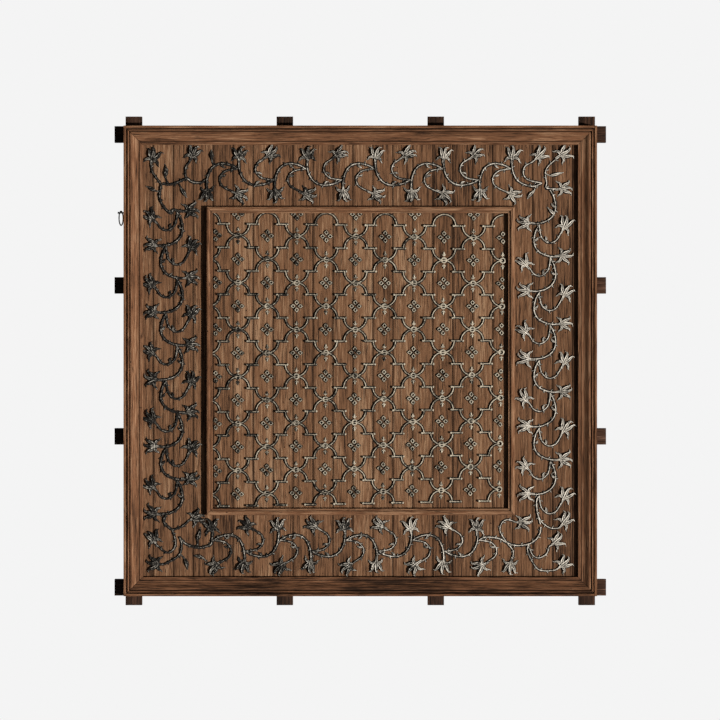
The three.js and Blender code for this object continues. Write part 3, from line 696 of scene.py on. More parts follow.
def worn_and_lit_metal_group():
    """Metal lighter on its crests, from rubbed wear and a painted highlight, and darker on its flanks,
    which are tarnished and carry painted shade. Tarnished patches are real; a painted shade darkens
    the metal towards the left.
    """
    group, given, result = new_group(
        "worn and lit metal",
        [("Place", "NodeSocketVector"), ("Crest", "NodeSocketFloat"),
         ("Bright", "NodeSocketColor"), ("Tarnish", "NodeSocketColor"),
         ("Left", "NodeSocketFloat"), ("Right", "NodeSocketFloat")],
        [("Colour", "NodeSocketColor"), ("Roughness", "NodeSocketFloat"),
         ("Height", "NodeSocketFloat")])
    calc = partial(arithmetic, group)
    place = given["Place"]
    split = add_node(group, "ShaderNodeSeparateXYZ")
    group.links.new(place, split.inputs[0])
    # Painted shade: the share of the way across the panel makes the metal darker towards the left and
    # lighter towards the right, as the light from the right falls
    across = add_node(group, "ShaderNodeMapRange")
    feed(group, across, value=split.outputs[0], from_min=given["Left"], from_max=given["Right"])
    patches = stretched_noise(group, place, (20, 20, 20), 1, 0.5)
    blotches = stretched_noise(group, place, (140, 140, 140), 3, 0.7)
    grains = stretched_noise(group, place, (900, 900, 900), 2, 0.5)
    # Painted light across the panel, plus patches where the metal kept its polish
    painted_light_and_polish = calc("ADD", calc("MULTIPLY", across.outputs[0], 0.9), centred(group, patches, 1.5))
    painted_light_and_polish = calc("ADD", painted_light_and_polish, 0.2, clamp=True)
    spread = centred(group, blotches, 1.6)
    # Where light and polish are low, the lighter crest gives way to tarnished metal and painted shade
    painted_shade_and_tarnish = calc("MULTIPLY", calc("SUBTRACT", 1.0, painted_light_and_polish), 0.42)
    # The crest is rubbed wear and also a painted highlight on the tops and painted shade on the
    # flanks; the blotches are real wear
    worn = calc("SUBTRACT", calc("ADD", given["Crest"], spread), painted_shade_and_tarnish)
    # How light the crests get: less towards the left, which is painted shade
    level = calc("ADD", calc("MULTIPLY", painted_light_and_polish, 0.55), 0.45)
    worn = calc("MULTIPLY", between(group, worn, 0.55, 0.95), level, clamp=True)
    colour = blend_colours(group, worn, given["Tarnish"], given["Bright"])
    group.links.new(colour, result["Colour"])
    rough = calc("SUBTRACT", 0.72, calc("MULTIPLY", worn, 0.16))
    group.links.new(rough, result["Roughness"])
    height = calc("ADD", blotches, calc("MULTIPLY", grains, 0.35))
    group.links.new(height, result["Height"])
    return group


def start_material(name):
    material = bpy.data.materials.new(name)
    material.use_nodes = True
    tree = material.node_tree
    shader = tree.nodes["Principled BSDF"]
    return material, tree, shader


def dress_shader(tree, shader, group, strength, relief, specular):
    """Gives the shader the colour, roughness and relief of a node group."""
    tree.links.new(group.outputs["Colour"], shader.inputs["Base Color"])
    tree.links.new(group.outputs["Roughness"], shader.inputs["Roughness"])
    bump = add_node(tree, "ShaderNodeBump")
    feed(tree, bump, strength=strength, distance=relief, height=group.outputs["Height"])
    tree.links.new(bump.outputs[0], shader.inputs["Normal"])
    shader.inputs["Specular IOR Level"].default_value = specular


def wood_material(name, dark, middle, light, figure, relief):
    """Timber whose grain follows each piece's own run."""
    material, tree, shader = start_material(name)
    group = bpy.data.node_groups.get("old timber") or old_timber_group()
    timber = add_node(tree, "ShaderNodeGroup", node_tree=group)
    for label, attribute in (("Place", "grain"), ("Tone", "tone"), ("Dirt", "dirt")):
        read = add_node(tree, "ShaderNodeAttribute", attribute_name=attribute)
        output = "Vector" if label == "Place" else "Fac"
        tree.links.new(read.outputs[output], timber.inputs[label])
    for label, colour in (("Dark", dark), ("Middle", middle), ("Light", light)):
        timber.inputs[label].default_value = (*colour, 1)
    timber.inputs["Figure"].default_value = figure
    dress_shader(tree, shader, timber, 0.9, relief, 0.12)
    return material


def metal_material(name, bright, tarnish, painted_shade_darkest_at, relief, metallic):
    """Metal lighter on its crests, from rubbed wear and a painted highlight, with a painted shade that
    is darkest at the given x.
    """
    material, tree, shader = start_material(name)
    group = bpy.data.node_groups.get("worn and lit metal") or worn_and_lit_metal_group()
    metal = add_node(tree, "ShaderNodeGroup", node_tree=group)
    place = add_node(tree, "ShaderNodeTexCoord")
    tree.links.new(place.outputs["Object"], metal.inputs["Place"])
    crest = add_node(tree, "ShaderNodeAttribute", attribute_name="crest")
    tree.links.new(crest.outputs["Fac"], metal.inputs["Crest"])
    metal.inputs["Bright"].default_value = (*bright, 1)
    metal.inputs["Tarnish"].default_value = (*tarnish, 1)
    metal.inputs["Left"].default_value = painted_shade_darkest_at
    metal.inputs["Right"].default_value = panel_right
    shader.inputs["Metallic"].default_value = metallic
    dress_shader(tree, shader, metal, 0.6, relief, 0.25)
    return material


# Strength of the figure and depth of the relief in each kind of wood
WOODS = {"board": (1.0, 1.2 * MM), "moulding": (1.15, 0.8 * MM), "batten": (1.0, 0.7 * MM)}


def wood_of(kind):
    """The material of a kind of wood, made when it is first asked for."""
    wood = bpy.context.scene.panel_wood
    name = f"{kind} wood"
    colours = [getattr(wood, f"{kind}_{shade}") for shade in ("dark", "middle", "light")]
    return bpy.data.materials.get(name) or wood_material(name, *colours, *WOODS[kind])


def vine_pewter():
    metal = bpy.context.scene.panel_metal
    # The vines carry painted shade, darkest a little inside the panel's left edge
    return bpy.data.materials.get("vine pewter") or metal_material(
        "vine pewter", metal.bright, metal.tarnish, panel_left * 0.9, 0.35 * MM, 0.15)


def strap_pewter():
    metal = bpy.context.scene.panel_metal
    # The straps carry painted shade, darkest beyond the panel's left edge
    return bpy.data.materials.get("strap pewter") or metal_material(
        "strap pewter", metal.strap_rubbed_and_highlight, metal.tarnish, panel_left * 1.5, 0.35 * MM, 0.15)


def black_iron():
    metal = bpy.context.scene.panel_metal
    return bpy.data.materials.get("black iron") or metal_material(
        "black iron", metal.iron, metal.iron, panel_left, 0.3 * MM, 0.0)


TONGUE_LENGTH = 3.5 * MM
TONGUE_THICKNESS = 4 * MM
BOARD_STRIPS = 8
BOARD_LENGTHS = 60

# Boards, from the left: how much lighter or darker than the rest each one is
BOARD_TONES = {2: 0.03, 5: -0.18, 6: 0.14, 7: 0.12, 9: -0.08, 12: 0.19, 14: 0.14, 16: -0.2,
               17: -0.17, 21: -0.06, 22: -0.14, 23: -0.11}
BORDER_TONE = -0.14

# Boards: where their edges begin, as a share of half their width, and how fast dirt builds up there
EDGE_SHARE = 0.93
EDGE_DIRT_POWER = 7


def board_section(width, thickness, with_tongue, with_groove):
    """(across, out of the wall) round a board, with a tongue on its right and a groove on its left."""
    right, front = width / 2, thickness / 2
    half = TONGUE_THICKNESS / 2
    points = [(right, front)]
    for k in range(1, BOARD_STRIPS):
        points.append((right - width * k / BOARD_STRIPS, front))
    points.append((-right, front))
    if with_groove:
        depth, slack = TONGUE_LENGTH, half + FIT
        points += [(-right, slack), (-right + depth, slack), (-right + depth, -slack),
                   (-right, -slack)]
    points += [(-right, -front), (right, -front)]
    if with_tongue:
        reach = right + TONGUE_LENGTH
        points += [(right, -half), (reach, -half), (reach, half), (right, half)]
    return points


def make_board(name, seed, tone, with_tongue, with_groove):
    wood = bpy.context.scene.panel_wood
    low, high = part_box(name)
    size = high - low
    middle = (low + high) / 2
    bm = bmesh.new()
    corners = [bm.verts.new((x, -out, -size.z / 2))
               for x, out in board_section(size.x, size.y, with_tongue, with_groove)]
    extrude(bm, corners, (0, 0, size.z))
    arrises = [e for e in edges_along(bm, 2, size.z / 2)
               if e.verts[0].co.y < -size.y * 0.49 and abs(e.verts[0].co.x) > size.x * 0.49]
    bevel(bm, arrises, wood.arris)
    divide(bm, edges_along(bm, 2, size.z / 2), BOARD_LENGTHS)
    bmesh.ops.translate(bm, vec=middle, verts=bm.verts)
    face_level = middle.y - size.y * 0.35

    def dirt_of(vert):
        return min(1, abs(vert.co.x - middle.x) / (size.x / 2)) ** EDGE_DIRT_POWER

    write_grain(bm, 0, 1, 2, seed, tone, dirt_of)
    tones = bm.verts.layers.float["tone"]
    for vert in bm.verts:
        co = vert.co
        if max(abs(co.x), abs(co.z - panel_middle)) > inner_half:
            vert[tones] += BORDER_TONE
        if co.y > face_level:
            continue
        side = (co.x - middle.x) / (size.x / 2)
        if abs(side) > EDGE_SHARE:
            co.x -= math.copysign(wood.wander * swing(seed * 3 + side, 0, co.z * 11), side)
        co.y += wood.unevenness * swing(co.x * 30, seed, co.z * 5)
    add_piece(f"{name}_wood", bm, wood_of("board"), [name])


class PANEL_OT_boards(bpy.types.Operator):
    """Add the vertical boards"""
    bl_idname = "panel.boards"
    bl_label = "Boards"

    def execute(self, context):
        rng = random.Random(5)
        names = [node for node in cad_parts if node.startswith("board_")]
        for name in sorted(names, key=lambda node: int(node.split("_")[1])):
            number = int(name.split("_")[1])
            tone = BOARD_TONES.get(number, 0) + rng.uniform(-0.03, 0.03)
            make_board(name, number * 0.73, tone, number < len(names), number > 1)
        return {"FINISHED"}


# Battens

# Tones of the battens behind the boards, of their ends on the left, darkened by painted shade, and of
# those above and below
BATTEN_TONE = -0.1
BATTEN_SHADE_LEFT = -0.5
BATTEN_TONE_UPRIGHT = -0.36


def make_batten(name, run, crossings, notched_from_front, seed):
    """One batten along x or z, 0 or 2, let in where it crosses the others."""
    wood = bpy.context.scene.panel_wood
    low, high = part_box(name)
    cross = 2 - run
    depth = high.y - low.y
    notch_bottom = low.y + depth / 2 + FIT / 2 if notched_from_front else low.y + depth / 2 - FIT / 2
    ends = (low[run], high[run])
    notches = []
    for centre, half in crossings:
        notches += [(centre - half, "in"), (centre + half, "out")]
    open_side = [(ends[0], low.y if notched_from_front else high.y)]
    level = open_side[0][1]
    for place, kind in notches:
        first, second = (level, notch_bottom) if kind == "in" else (notch_bottom, level)
        open_side += [(place, first), (place, second)]
    open_side.append((ends[1], level))
    other = high.y if notched_from_front else low.y
    outline = [*open_side, (ends[1], other), (ends[0], other)]
    bm = bmesh.new()
    corners = []
    for place, y in outline:
        co = Vector((0, y, 0))
        co[run] = place
        co[cross] = low[cross]
        corners.append(bm.verts.new(co))
    shift = Vector((0, 0, 0))
    shift[cross] = high[cross] - low[cross]
    extrude(bm, corners, shift)
    bevel(bm, bm.edges[:], wood.arris)
    write_grain(bm, cross, 1, run, seed, BATTEN_TONE, lambda vert: 0.0)
    tones = bm.verts.layers.float["tone"]
    # Painted shade on the batten ends left of the panel; the ends above and below are made darker as
    # well
    for vert in bm.verts:
        if vert.co.x < panel_left:
            vert[tones] = BATTEN_SHADE_LEFT
        elif not panel_bottom < vert.co.z < panel_top:
            vert[tones] = BATTEN_TONE_UPRIGHT
    add_piece(f"{name}_wood", bm, wood_of("batten"), [name])


class PANEL_OT_battens(bpy.types.Operator):
    """Add the cross-lapped battens behind the boards"""
    bl_idname = "panel.battens"
    bl_label = "Battens"

    def execute(self, context):
        across = sorted(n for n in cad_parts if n.startswith("batten_across"))
        upright = sorted(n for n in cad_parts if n.startswith("batten_upright"))

        def spans(names, axis):
            found = []
            for name in names:
                low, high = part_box(name)
                found.append(((low[axis] + high[axis]) / 2,
                              (high[axis] - low[axis]) / 2 + FIT))
            return found

        for k, name in enumerate(across):
            make_batten(name, 0, spans(upright, 0), True, 31 + k * 1.7)
        for k, name in enumerate(upright):
            make_batten(name, 2, spans(across, 2), False, 47 + k * 1.3)
        return {"FINISHED"}


# Edge boards and mouldings

# Edge boards: side, axis that they run along, tone
EDGE_BOARDS = (("top", 0, 0.0), ("bottom", 0, -0.3), ("left", 2, 0.05), ("right", 2, -0.06))


class PANEL_OT_edge_boards(bpy.types.Operator):
    """Add the thin boards round the frame"""
    bl_idname = "panel.edge_boards"
    bl_label = "Edge boards"

    def execute(self, context):
        wood = bpy.context.scene.panel_wood
        for k, (side, run, tone) in enumerate(EDGE_BOARDS):
            name = f"edge_board_{side}"
            low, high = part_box(name)
            size = high - low
            bm = bmesh.new()
            bmesh.ops.create_cube(bm, size=1)
            bmesh.ops.scale(bm, vec=size, verts=bm.verts)
            bevel(bm, bm.edges[:], wood.arris)
            divide(bm, edges_along(bm, run, size[run] / 2), BOARD_LENGTHS)
            bmesh.ops.translate(bm, vec=(low + high) / 2, verts=bm.verts)
            write_grain(bm, 2 - run, 1, run, 61 + k, tone, lambda vert: 0.0)
            for vert in bm.verts:
                if vert.co.y < 0:
                    vert.co.y += wood.unevenness * swing(k * 5, 0, vert.co[run] * 6)
            add_piece(f"{name}_wood", bm, wood_of("moulding"), [name])
        return {"FINISHED"}


def bezier(places, t):
    """The point at share t of the curve that the given ends and handles draw."""
    order = len(places) - 1
    weights = [math.comb(order, k) * t ** k * (1 - t) ** (order - k) for k in range(order + 1)]
    return [sum(w * place[axis] for w, place in zip(weights, places)) for axis in (0, 1)]


def frame_profile():
    """(inward, height, dirt and painted shade) round the frame moulding, from its outer foot. Its
    grooves, quirks and feet are darkened by dirt and by painted shade.
    """
    points = [(0, 0, 1), (0, GROOVE_HEIGHT, 1), (GROOVE_WIDTH, GROOVE_HEIGHT, 1)]
    bead_radius = BEAD_WIDTH / 2
    for k in range(9):
        a = math.pi - k * math.pi / 8
        points.append((GROOVE_WIDTH + bead_radius + bead_radius * math.cos(a),
                       BEAD_HEIGHT - bead_radius + bead_radius * math.sin(a),
                       0.7 if k in (0, 8) else 0))
    wave_left = GROOVE_WIDTH + BEAD_WIDTH + OUTER_QUIRK_WIDTH
    wave_right = wave_left + WAVE_WIDTH
    points.append((wave_left - OUTER_QUIRK_WIDTH / 2, OUTER_QUIRK_HEIGHT, 1))
    swell = (wave_left + WAVE_WIDTH * WAVE_SWELL_AT, WAVE_CREST * WAVE_SWELL_SHARE)
    hollow = (wave_left + WAVE_WIDTH * WAVE_HOLLOW_AT, WAVE_FOOT * WAVE_HOLLOW_SHARE)
    start, end = (wave_left, WAVE_CREST), (wave_right, WAVE_FOOT)
    for k in range(13):
        points.append((*bezier((start, swell, hollow, end), k / 12), 0.9 if k in (0, 12) else 0))
    fillet_left = wave_right + INNER_QUIRK_WIDTH
    fillet_right = fillet_left + FILLET_WIDTH
    points += [
        (wave_right + INNER_QUIRK_WIDTH / 2, INNER_QUIRK_HEIGHT, 1),
        (fillet_left, FILLET_HEIGHT, 0.5),
        (fillet_right - FILLET_ROUND, FILLET_HEIGHT, 0),
        (fillet_right, FILLET_HEIGHT - FILLET_ROUND, 0),
        (fillet_right, 0, 1),
    ]
    return points


def inner_profile():
    """(inward, height, dirt and painted shade) round the inner frame moulding, from its outer foot.
    Its feet and the crease at the ledge are darkened by dirt and by painted shade.
    """
    points = [(0, 0, 1)]
    crest = (SHOULDER_WIDTH / 2, SHOULDER_HEIGHT)
    rise = ((0, SHOULDER_SIDE), (0, SHOULDER_HEIGHT), crest)
    fall = (crest, (SHOULDER_WIDTH, SHOULDER_HEIGHT), (SHOULDER_WIDTH, LEDGE_HEIGHT))
    points += [(*bezier(rise, k / 6), 0) for k in range(7)]
    points += [(*bezier(fall, k / 6), 1 if k == 6 else 0) for k in range(1, 7)]
    width = SHOULDER_WIDTH + LEDGE_WIDTH
    points += [(width - FILLET_ROUND, LEDGE_HEIGHT, 0), (width, LEDGE_HEIGHT - FILLET_ROUND, 0),
               (width, 0, 1)]
    return points


RAIL_LENGTHS = 48
MITRE_DIRT = 2 * MM


def make_rail(name, profile, half_length, turns, place, seed, tone):
    """One mitred length of moulding. It is made level, with its inner side down, and turned."""
    wood = bpy.context.scene.panel_wood
    bm = bmesh.new()
    start = [bm.verts.new((-half_length, -inward, height)) for inward, height, dirt in profile]
    extrude(bm, start, (2 * half_length, 0, 0))
    divide(bm, edges_along(bm, 0, half_length), RAIL_LENGTHS)
    # Darkening of the grooves, quirks and feet: dirt and painted shade
    dirt_and_shade_at = {(round(-inward, 6), round(height, 6)): dirt for inward, height, dirt in profile}

    def dirt_of(vert):
        return dirt_and_shade_at.get((round(vert.co.y, 6), round(vert.co.z, 6)), 0.0)

    write_grain(bm, 1, 2, 0, seed, tone, dirt_of)
    for vert in bm.verts:
        if vert.co.z > 0:
            vert.co.z -= wood.unevenness * swing(vert.co.x * 7, vert.co.y * 60, seed)
    mitre = half_length - FIT / math.sqrt(2)
    for end in (-1, 1):
        cut(bm, (end * (mitre - MITRE_DIRT), 0, 0), (end, -1, 0), clear_outer=False)
        rim = cut(bm, (end * mitre, 0, 0), (end, -1, 0))
        dirt = bm.verts.layers.float["dirt"]
        for vert in only(bmesh.types.BMVert, rim):
            vert[dirt] = 1
        bmesh.ops.contextual_create(bm, geom=only(bmesh.types.BMEdge, rim))
    turn = Matrix.Rotation(turns * math.pi / 2, 4, "Z")
    bmesh.ops.transform(bm, matrix=STAND @ Matrix.Translation(place) @ turn, verts=bm.verts)
    bmesh.ops.recalc_face_normals(bm, faces=bm.faces)
    add_piece(f"{name}_wood", bm, wood_of("moulding"), [name])


def make_frame(name, profile, half_width, half_height, tones, seed):
    sides = (("top", half_width, (0, half_height, 0)),
             ("left", half_height, (-half_width, 0, 0)),
             ("bottom", half_width, (0, -half_height, 0)),
             ("right", half_height, (half_width, 0, 0)))
    for k, (side, half_length, place) in enumerate(sides):
        make_rail(f"{name}_{side}", profile, half_length, k, place, seed + 2 * k, tones[k])


# Tones of the lengths at the top, left, bottom and right. They are partly painted light and shade: the
# outer frame's bottom length is darkened by painted shade, and the inner frame's left length is darker
# and its other lengths lighter, as the light falls on each side.
FRAME_TONES_AND_SHADES = (-0.09, 0.03, -0.42, 0.05)
INNER_TONES_AND_SHADES = (0.17, -0.12, 0.17, 0.2)


class PANEL_OT_mouldings(bpy.types.Operator):
    """Add the mitred mouldings of the outer and the inner frame"""
    bl_idname = "panel.mouldings"
    bl_label = "Mouldings"

    def execute(self, context):
        make_frame("frame_moulding", frame_profile(), moulding_half_width, moulding_half_height,
                   FRAME_TONES_AND_SHADES, 71)
        make_frame("inner_moulding", inner_profile(), inner_half, inner_half,
                   INNER_TONES_AND_SHADES, 83)
        return {"FINISHED"}


# Strapwork

# How fast the lighter crest of each form, rubbed wear with a painted highlight, gives way to its dark
# flanks, tarnished and in painted shade
STRIP_STEEPNESS = 1.3
BUD_STEEPNESS = 0.8
STEM_STEEPNESS = 2.2
PETAL_STEEPNESS = 1.0

# Knob: height in strip heights, and chamfer as a share of its size
KNOB_RISE = 1.5
KNOB_CHAMFER = 0.26

# Crossing ring: height of its section as a share of the width
RING_FLATNESS = 0.85

# Rosette petal, in shares of half its width: corners between its points, length, height, top,
# rim, and slope and depth of its pit. Then how near a rosette may come to the field's left and top.
PETAL_WAIST = 0.78
PETAL_STRETCH = 1.15
PETAL_HEIGHT = 0.5
PETAL_TOP = 0.74
PETAL_RIM = 0.24
PETAL_PIT_SLOPE = 0.14
PETAL_PIT_DEPTH = 0.4
ROSETTE_FROM_LEFT = 0.55
ROSETTE_FROM_TOP = 0.17


def strap_arc(start, end):
    """A quarter round from start, where it is level, to end, where it is upright."""
    width = end[0] - start[0]
    height = end[1] - start[1]
    line = []
    for k in range(ARC_STEPS + 1):
        a = k / ARC_STEPS * math.pi / 2
        line.append((start[0] + width * math.sin(a), end[1] - height * math.cos(a)))
    return line


def straps():
    """Arcs and bars of the field. Each bar joins the arc of an upper and of a lower crossing."""
    arcs = []
    bars = []
    for i in range(STRAP_COLUMNS + 1):
        for j in range(STRAP_ROWS + 1):
            if (i + j) % 2:
                continue
            upper = at_crossing(i, j)
            for side in (-1, 1):
                if not 0 <= i + side <= STRAP_COLUMNS:
                    continue
                lower = at_crossing(i + side, j + 1)
                width = (abs(lower[0] - upper[0]) - STRAP_BAR) / 2
                level = (upper[1] + lower[1]) / 2
                first = upper[0] + side * width
                second = lower[0] - side * width
                arcs.append(strap_arc(upper, (first, level)))
                if j < STRAP_ROWS:
                    arcs.append(strap_arc(lower, (second, level)))
                bars.append((*sorted((first, second)), level))
    return arcs, bars


def clip_to_field(bm):
    """Cuts off what would lie under the inner frame."""
    reach = field_half - FIT
    for normal in ((-1, 0, 0), (1, 0, 0), (0, 1, 0), (0, -1, 0)):
        rims = only(bmesh.types.BMEdge, cut(bm, Vector(normal) * reach, normal))
        bmesh.ops.holes_fill(bm, edges=rims, sides=0)


def bar_knob():
    metal = bpy.context.scene.panel_metal
    height = metal.strap_height * KNOB_RISE
    bm = bmesh.new()
    bmesh.ops.create_cube(bm, size=1)
    bmesh.ops.scale(bm, vec=(metal.knob_size, metal.knob_size, height), verts=bm.verts)
    bmesh.ops.translate(bm, vec=(0, 0, height / 2), verts=bm.verts)
    exposed = [e for e in bm.edges if e.verts[0].co.z + e.verts[1].co.z > height / 2]
    bevel(bm, exposed, metal.knob_size * KNOB_CHAMFER, segments=1)
    return to_shape(bm)


def crossing_ring():
    metal = bpy.context.scene.panel_metal
    band = (metal.ring_diameter - metal.ring_hole) / 4
    bm = hoop(metal.ring_hole / 2 + band, band, 8, 20)
    bmesh.ops.scale(bm, vec=(1, 1, RING_FLATNESS), verts=bm.verts)
    bmesh.ops.translate(bm, vec=(0, 0, band * RING_FLATNESS), verts=bm.verts)
    return to_shape(bm)


def rosette_petal():
    """A diamond with a raised rim round a pit, longest along its y axis."""
    metal = bpy.context.scene.panel_metal
    half = metal.petal_size / 2
    bm = bmesh.new()
    bmesh.ops.create_circle(bm, cap_ends=True, segments=8, radius=half)
    for vert in bm.verts:
        if min(abs(vert.co.x), abs(vert.co.y)) > half * 0.1:
            vert.co *= PETAL_WAIST
    bmesh.ops.scale(bm, vec=(1, PETAL_STRETCH, 1), verts=bm.verts)
    rim = bmesh.ops.extrude_face_region(bm, geom=bm.faces[:])
    raised = only(bmesh.types.BMVert, rim["geom"])
    bmesh.ops.translate(bm, vec=(0, 0, half * PETAL_HEIGHT), verts=raised)
    bmesh.ops.scale(bm, vec=(PETAL_TOP, PETAL_TOP, 1), verts=raised)
    top = only(bmesh.types.BMFace, rim["geom"])
    bmesh.ops.inset_region(bm, faces=top, thickness=half * PETAL_RIM, depth=0)
    bmesh.ops.inset_region(bm, faces=top, thickness=half * PETAL_PIT_SLOPE,
                           depth=-half * PETAL_PIT_DEPTH)
    return to_shape(bm)


def horn(places, sizes, z=0.0, lift=0.0):
    """A line of (x, y, z, size) whose size follows the given ones from end to end."""
    points = [Vector((x, y, 0)) for x, y in places]
    length = sum((b - a).length for a, b in zip(points, points[1:]))
    flat = smooth_line(points, length / HORN_STEPS)
    line = []
    for k, point in enumerate(flat):
        share = k / (len(flat) - 1)
        place = share * (len(sizes) - 1)
        low = min(int(place), len(sizes) - 2)
        size = sizes[low] + (sizes[low + 1] - sizes[low]) * (place - low)
        line.append((point.x, point.y, z + lift * math.sin(math.pi * share), size))
    return line


def turned(line, matrix, scale):
    """The line moved by a matrix of the panel's plane, with its sizes scaled."""
    moved = []
    for x, y, z, size in line:
        co = matrix @ Vector((x, y, z))
        moved.append((co.x, co.y, co.z, size * scale))
    return moved


def seat_beside(x, y, turn, distance):
    """A place at a distance from (x, y), upwards before the turn about it."""
    return (Matrix.Translation((x, y, 0)) @ Matrix.Rotation(turn, 4, "Z")
            @ Matrix.Translation((0, distance, 0)))


class PANEL_OT_strapwork(bpy.types.Operator):
    """Add the strips with their knobs, rings and buds, and the rosettes"""
    bl_idname = "panel.strapwork"
    bl_label = "Strapwork"

    def execute(self, context):
        metal = bpy.context.scene.panel_metal
        arcs, bars = straps()
        half = metal.strap_width / 2
        lines = [[(x, y, 0, half) for x, y in arc] for arc in arcs]
        for left, right, level in bars:
            lines.append([(left - metal.bar_overhang, level, 0, half),
                          (left, level, 0, half), (right, level, 0, half),
                          (right + metal.bar_overhang, level, 0, half)])
        rise = metal.strap_height / half
        strips = sweep(lines, [(x, y * rise) for x, y in crowned_section()], STRIP_STEEPNESS)
        clip_to_field(strips)
        add_metalwork("strapwork_strips", strips, strap_pewter(), ["strapwork"])

        knobs = bmesh.new()
        knob = bar_knob()
        reach = field_half - metal.knob_size / 2
        for left, right, level in bars:
            for x in (left - metal.bar_overhang, right + metal.bar_overhang):
                if abs(x) < reach and abs(level) < reach:
                    stamp(knobs, knob, Matrix.Translation((x, level, 0)))
        add_metalwork("strapwork_knobs", knobs, strap_pewter())

        rings = bmesh.new()
        ring = crossing_ring()
        buds = []
        petals = bmesh.new()
        petal = rosette_petal()
        for i in range(STRAP_COLUMNS + 1):
            for j in range(STRAP_ROWS + 1):
                x, y = at_crossing(i, j)
                if (i + j) % 2 == 0:
                    if i > 0 and j > 0:
                        stamp(rings, ring, Matrix.Translation((x, y, 0)))
                        for turn in (0, math.pi):
                            seat = seat_beside(x, y, turn, metal.bud_distance)
                            buds += [turned(line, seat, 1) for line in bud_lines()]
                    continue
                x = max(x, -field_half + metal.petal_size * ROSETTE_FROM_LEFT)
                y = min(y, field_half - metal.petal_size * ROSETTE_FROM_TOP)
                for turn in range(4):
                    outside = ((turn == 0 and j == 0) or (turn == 1 and i == 0)
                               or (turn == 3 and i == STRAP_COLUMNS))
                    if outside:
                        continue
                    seat = seat_beside(x, y, turn * math.pi / 2, metal.petal_distance)
                    stamp(petals, petal, seat)
        add_metalwork("strapwork_rings", rings, strap_pewter())
        add_metalwork("rosettes", petals, strap_pewter())
        add_metalwork("strapwork_buds", sweep(buds, half_round(5), BUD_STEEPNESS), strap_pewter())
        return {"FINISHED"}


def bud_lines():
    """Three lobes of a small bud that points up its y axis."""
    lobes = [horn([(0, -6.5 * MM), (0, -2 * MM), (0, 2.5 * MM), (0, 8 * MM)],
                  [1.4 * MM, 2.4 * MM, 3.4 * MM, 0.4 * MM])]
    for side in (1, -1):
        lobes.append(horn([(0, -3 * MM), (side * 3 * MM, -2.5 * MM), (side * 5.4 * MM, 0.6 * MM)],
                          [1.4 * MM, 2 * MM, 0.6 * MM]))
    return lobes


# Vines

def at_corner(corner, place):
    return (CORNERS[corner][0] + place[0] * vine_unit, CORNERS[corner][1] + place[1] * vine_unit)


def junctions_of(vine):
    """(how far along the vine, step to the next, side) of each junction."""
    start = CORNERS[vine["from"]]
    end = CORNERS[vine["to"]]
    length = abs(end[0] - start[0] + end[1] - start[1])
    first = vine["lead"] * vine_unit
    step = (length - first - vine["tail"] * vine_unit) / (vine["junctions"] - 1)
    found = []
    for k in range(vine["junctions"]):
        second = k % 2 == 1
        along = first + k * step + (vine["lag"] * vine_unit if second else 0)
        found.append((along, step, -vine["first_side"] if second else vine["first_side"]))
    return found


def place_from(vine, junction, place):
    """A place of the drawing, (along, across), seen from a junction."""
    along, step, side = junction
    run = along + place[0] * step / HALF_WAVE
    out = side * place[1] * vine_unit
    x, y = CORNERS[vine["from"]]
    return (x + run * vine["along"][0] + out * vine["outward"][0],
            y + run * vine["along"][1] + out * vine["outward"][1])


# A lily seen from its side, in its own units. It grows up its y axis. The places and half widths
# of its middle petal, and of the right hand one of each pair.
MIDDLE_PETAL = ([(0, -3.4), (0.1, 0), (0, 3.0), (0.3, 5.8), (1.5, 8.2), (4.0, 8.4)],
                [1.7, 2.5, 2.6, 2.0, 1.1, 0.2])
SIDE_PETAL = ([(0.6, -3.0), (2.4, -0.8), (3.9, 1.4), (4.9, 3.8), (6.4, 6.2), (9.0, 5.9)],
              [1.5, 2.2, 2.4, 1.9, 1.0, 0.2])
BACK_PETAL = ([(0.4, -3.2), (2.5, -2.9), (4.6, -3.0), (6.2, -4.2), (7.0, -6.2), (8.8, -7.4)],
              [1.2, 1.7, 1.9, 1.4, 0.8, 0.2])
STALK_END = ([(0, -9.5), (0, -6.5), (0, -3.5), (0, -1)], [1.0, 1.3, 2.4, 2.6])


def flower_lines(rng):
    lines = []

    def add_petal(petal, side, turn, z):
        places, sizes = petal
        spin = Matrix.Rotation(math.radians(turn), 2)
        stretch = rng.uniform(0.92, 1.06)
        moved = [spin @ Vector((side * x, y)) * stretch for x, y in places]
        lines.append(horn([(p.x, p.y) for p in moved], sizes, z=z, lift=0.5))

    for side in (-1, 1):
        add_petal(BACK_PETAL, side, rng.uniform(-10, 10), 0.1)
    for side in (-1, 1):
        add_petal(SIDE_PETAL, side, rng.uniform(-8, 8), 0.45)
    add_petal(MIDDLE_PETAL, rng.choice((-1, 1)), rng.uniform(-7, 7), 0.8)
    lines.append(horn(*STALK_END, z=0.1))
    return lines


def grooved_section():
    """Petal section: one wide each way, with a groove between two ridges."""
    half = [(-1, 0), (-0.78, 0.15), (-0.5, 0.78), (-0.16, 0.7)]
    return [*half, (0, 0.15), *((-x, y) for x, y in reversed(half))]


# Knots and thorns: swelling, how far thorns lean along the stem, and their width in stem widths
KNOT_SWELLING = 1.35
THORN_LEAN = 0.5
THORN_WIDTH = 0.42


def thorn(root, direction, length, width):
    tip = root + direction * length
    middle = root.lerp(tip, 0.5)
    return [(root.x, root.y, 0, width), (middle.x, middle.y, 0.4 * MM, width * 0.6),
            (tip.x, tip.y, 0.8 * MM, width * 0.12)]


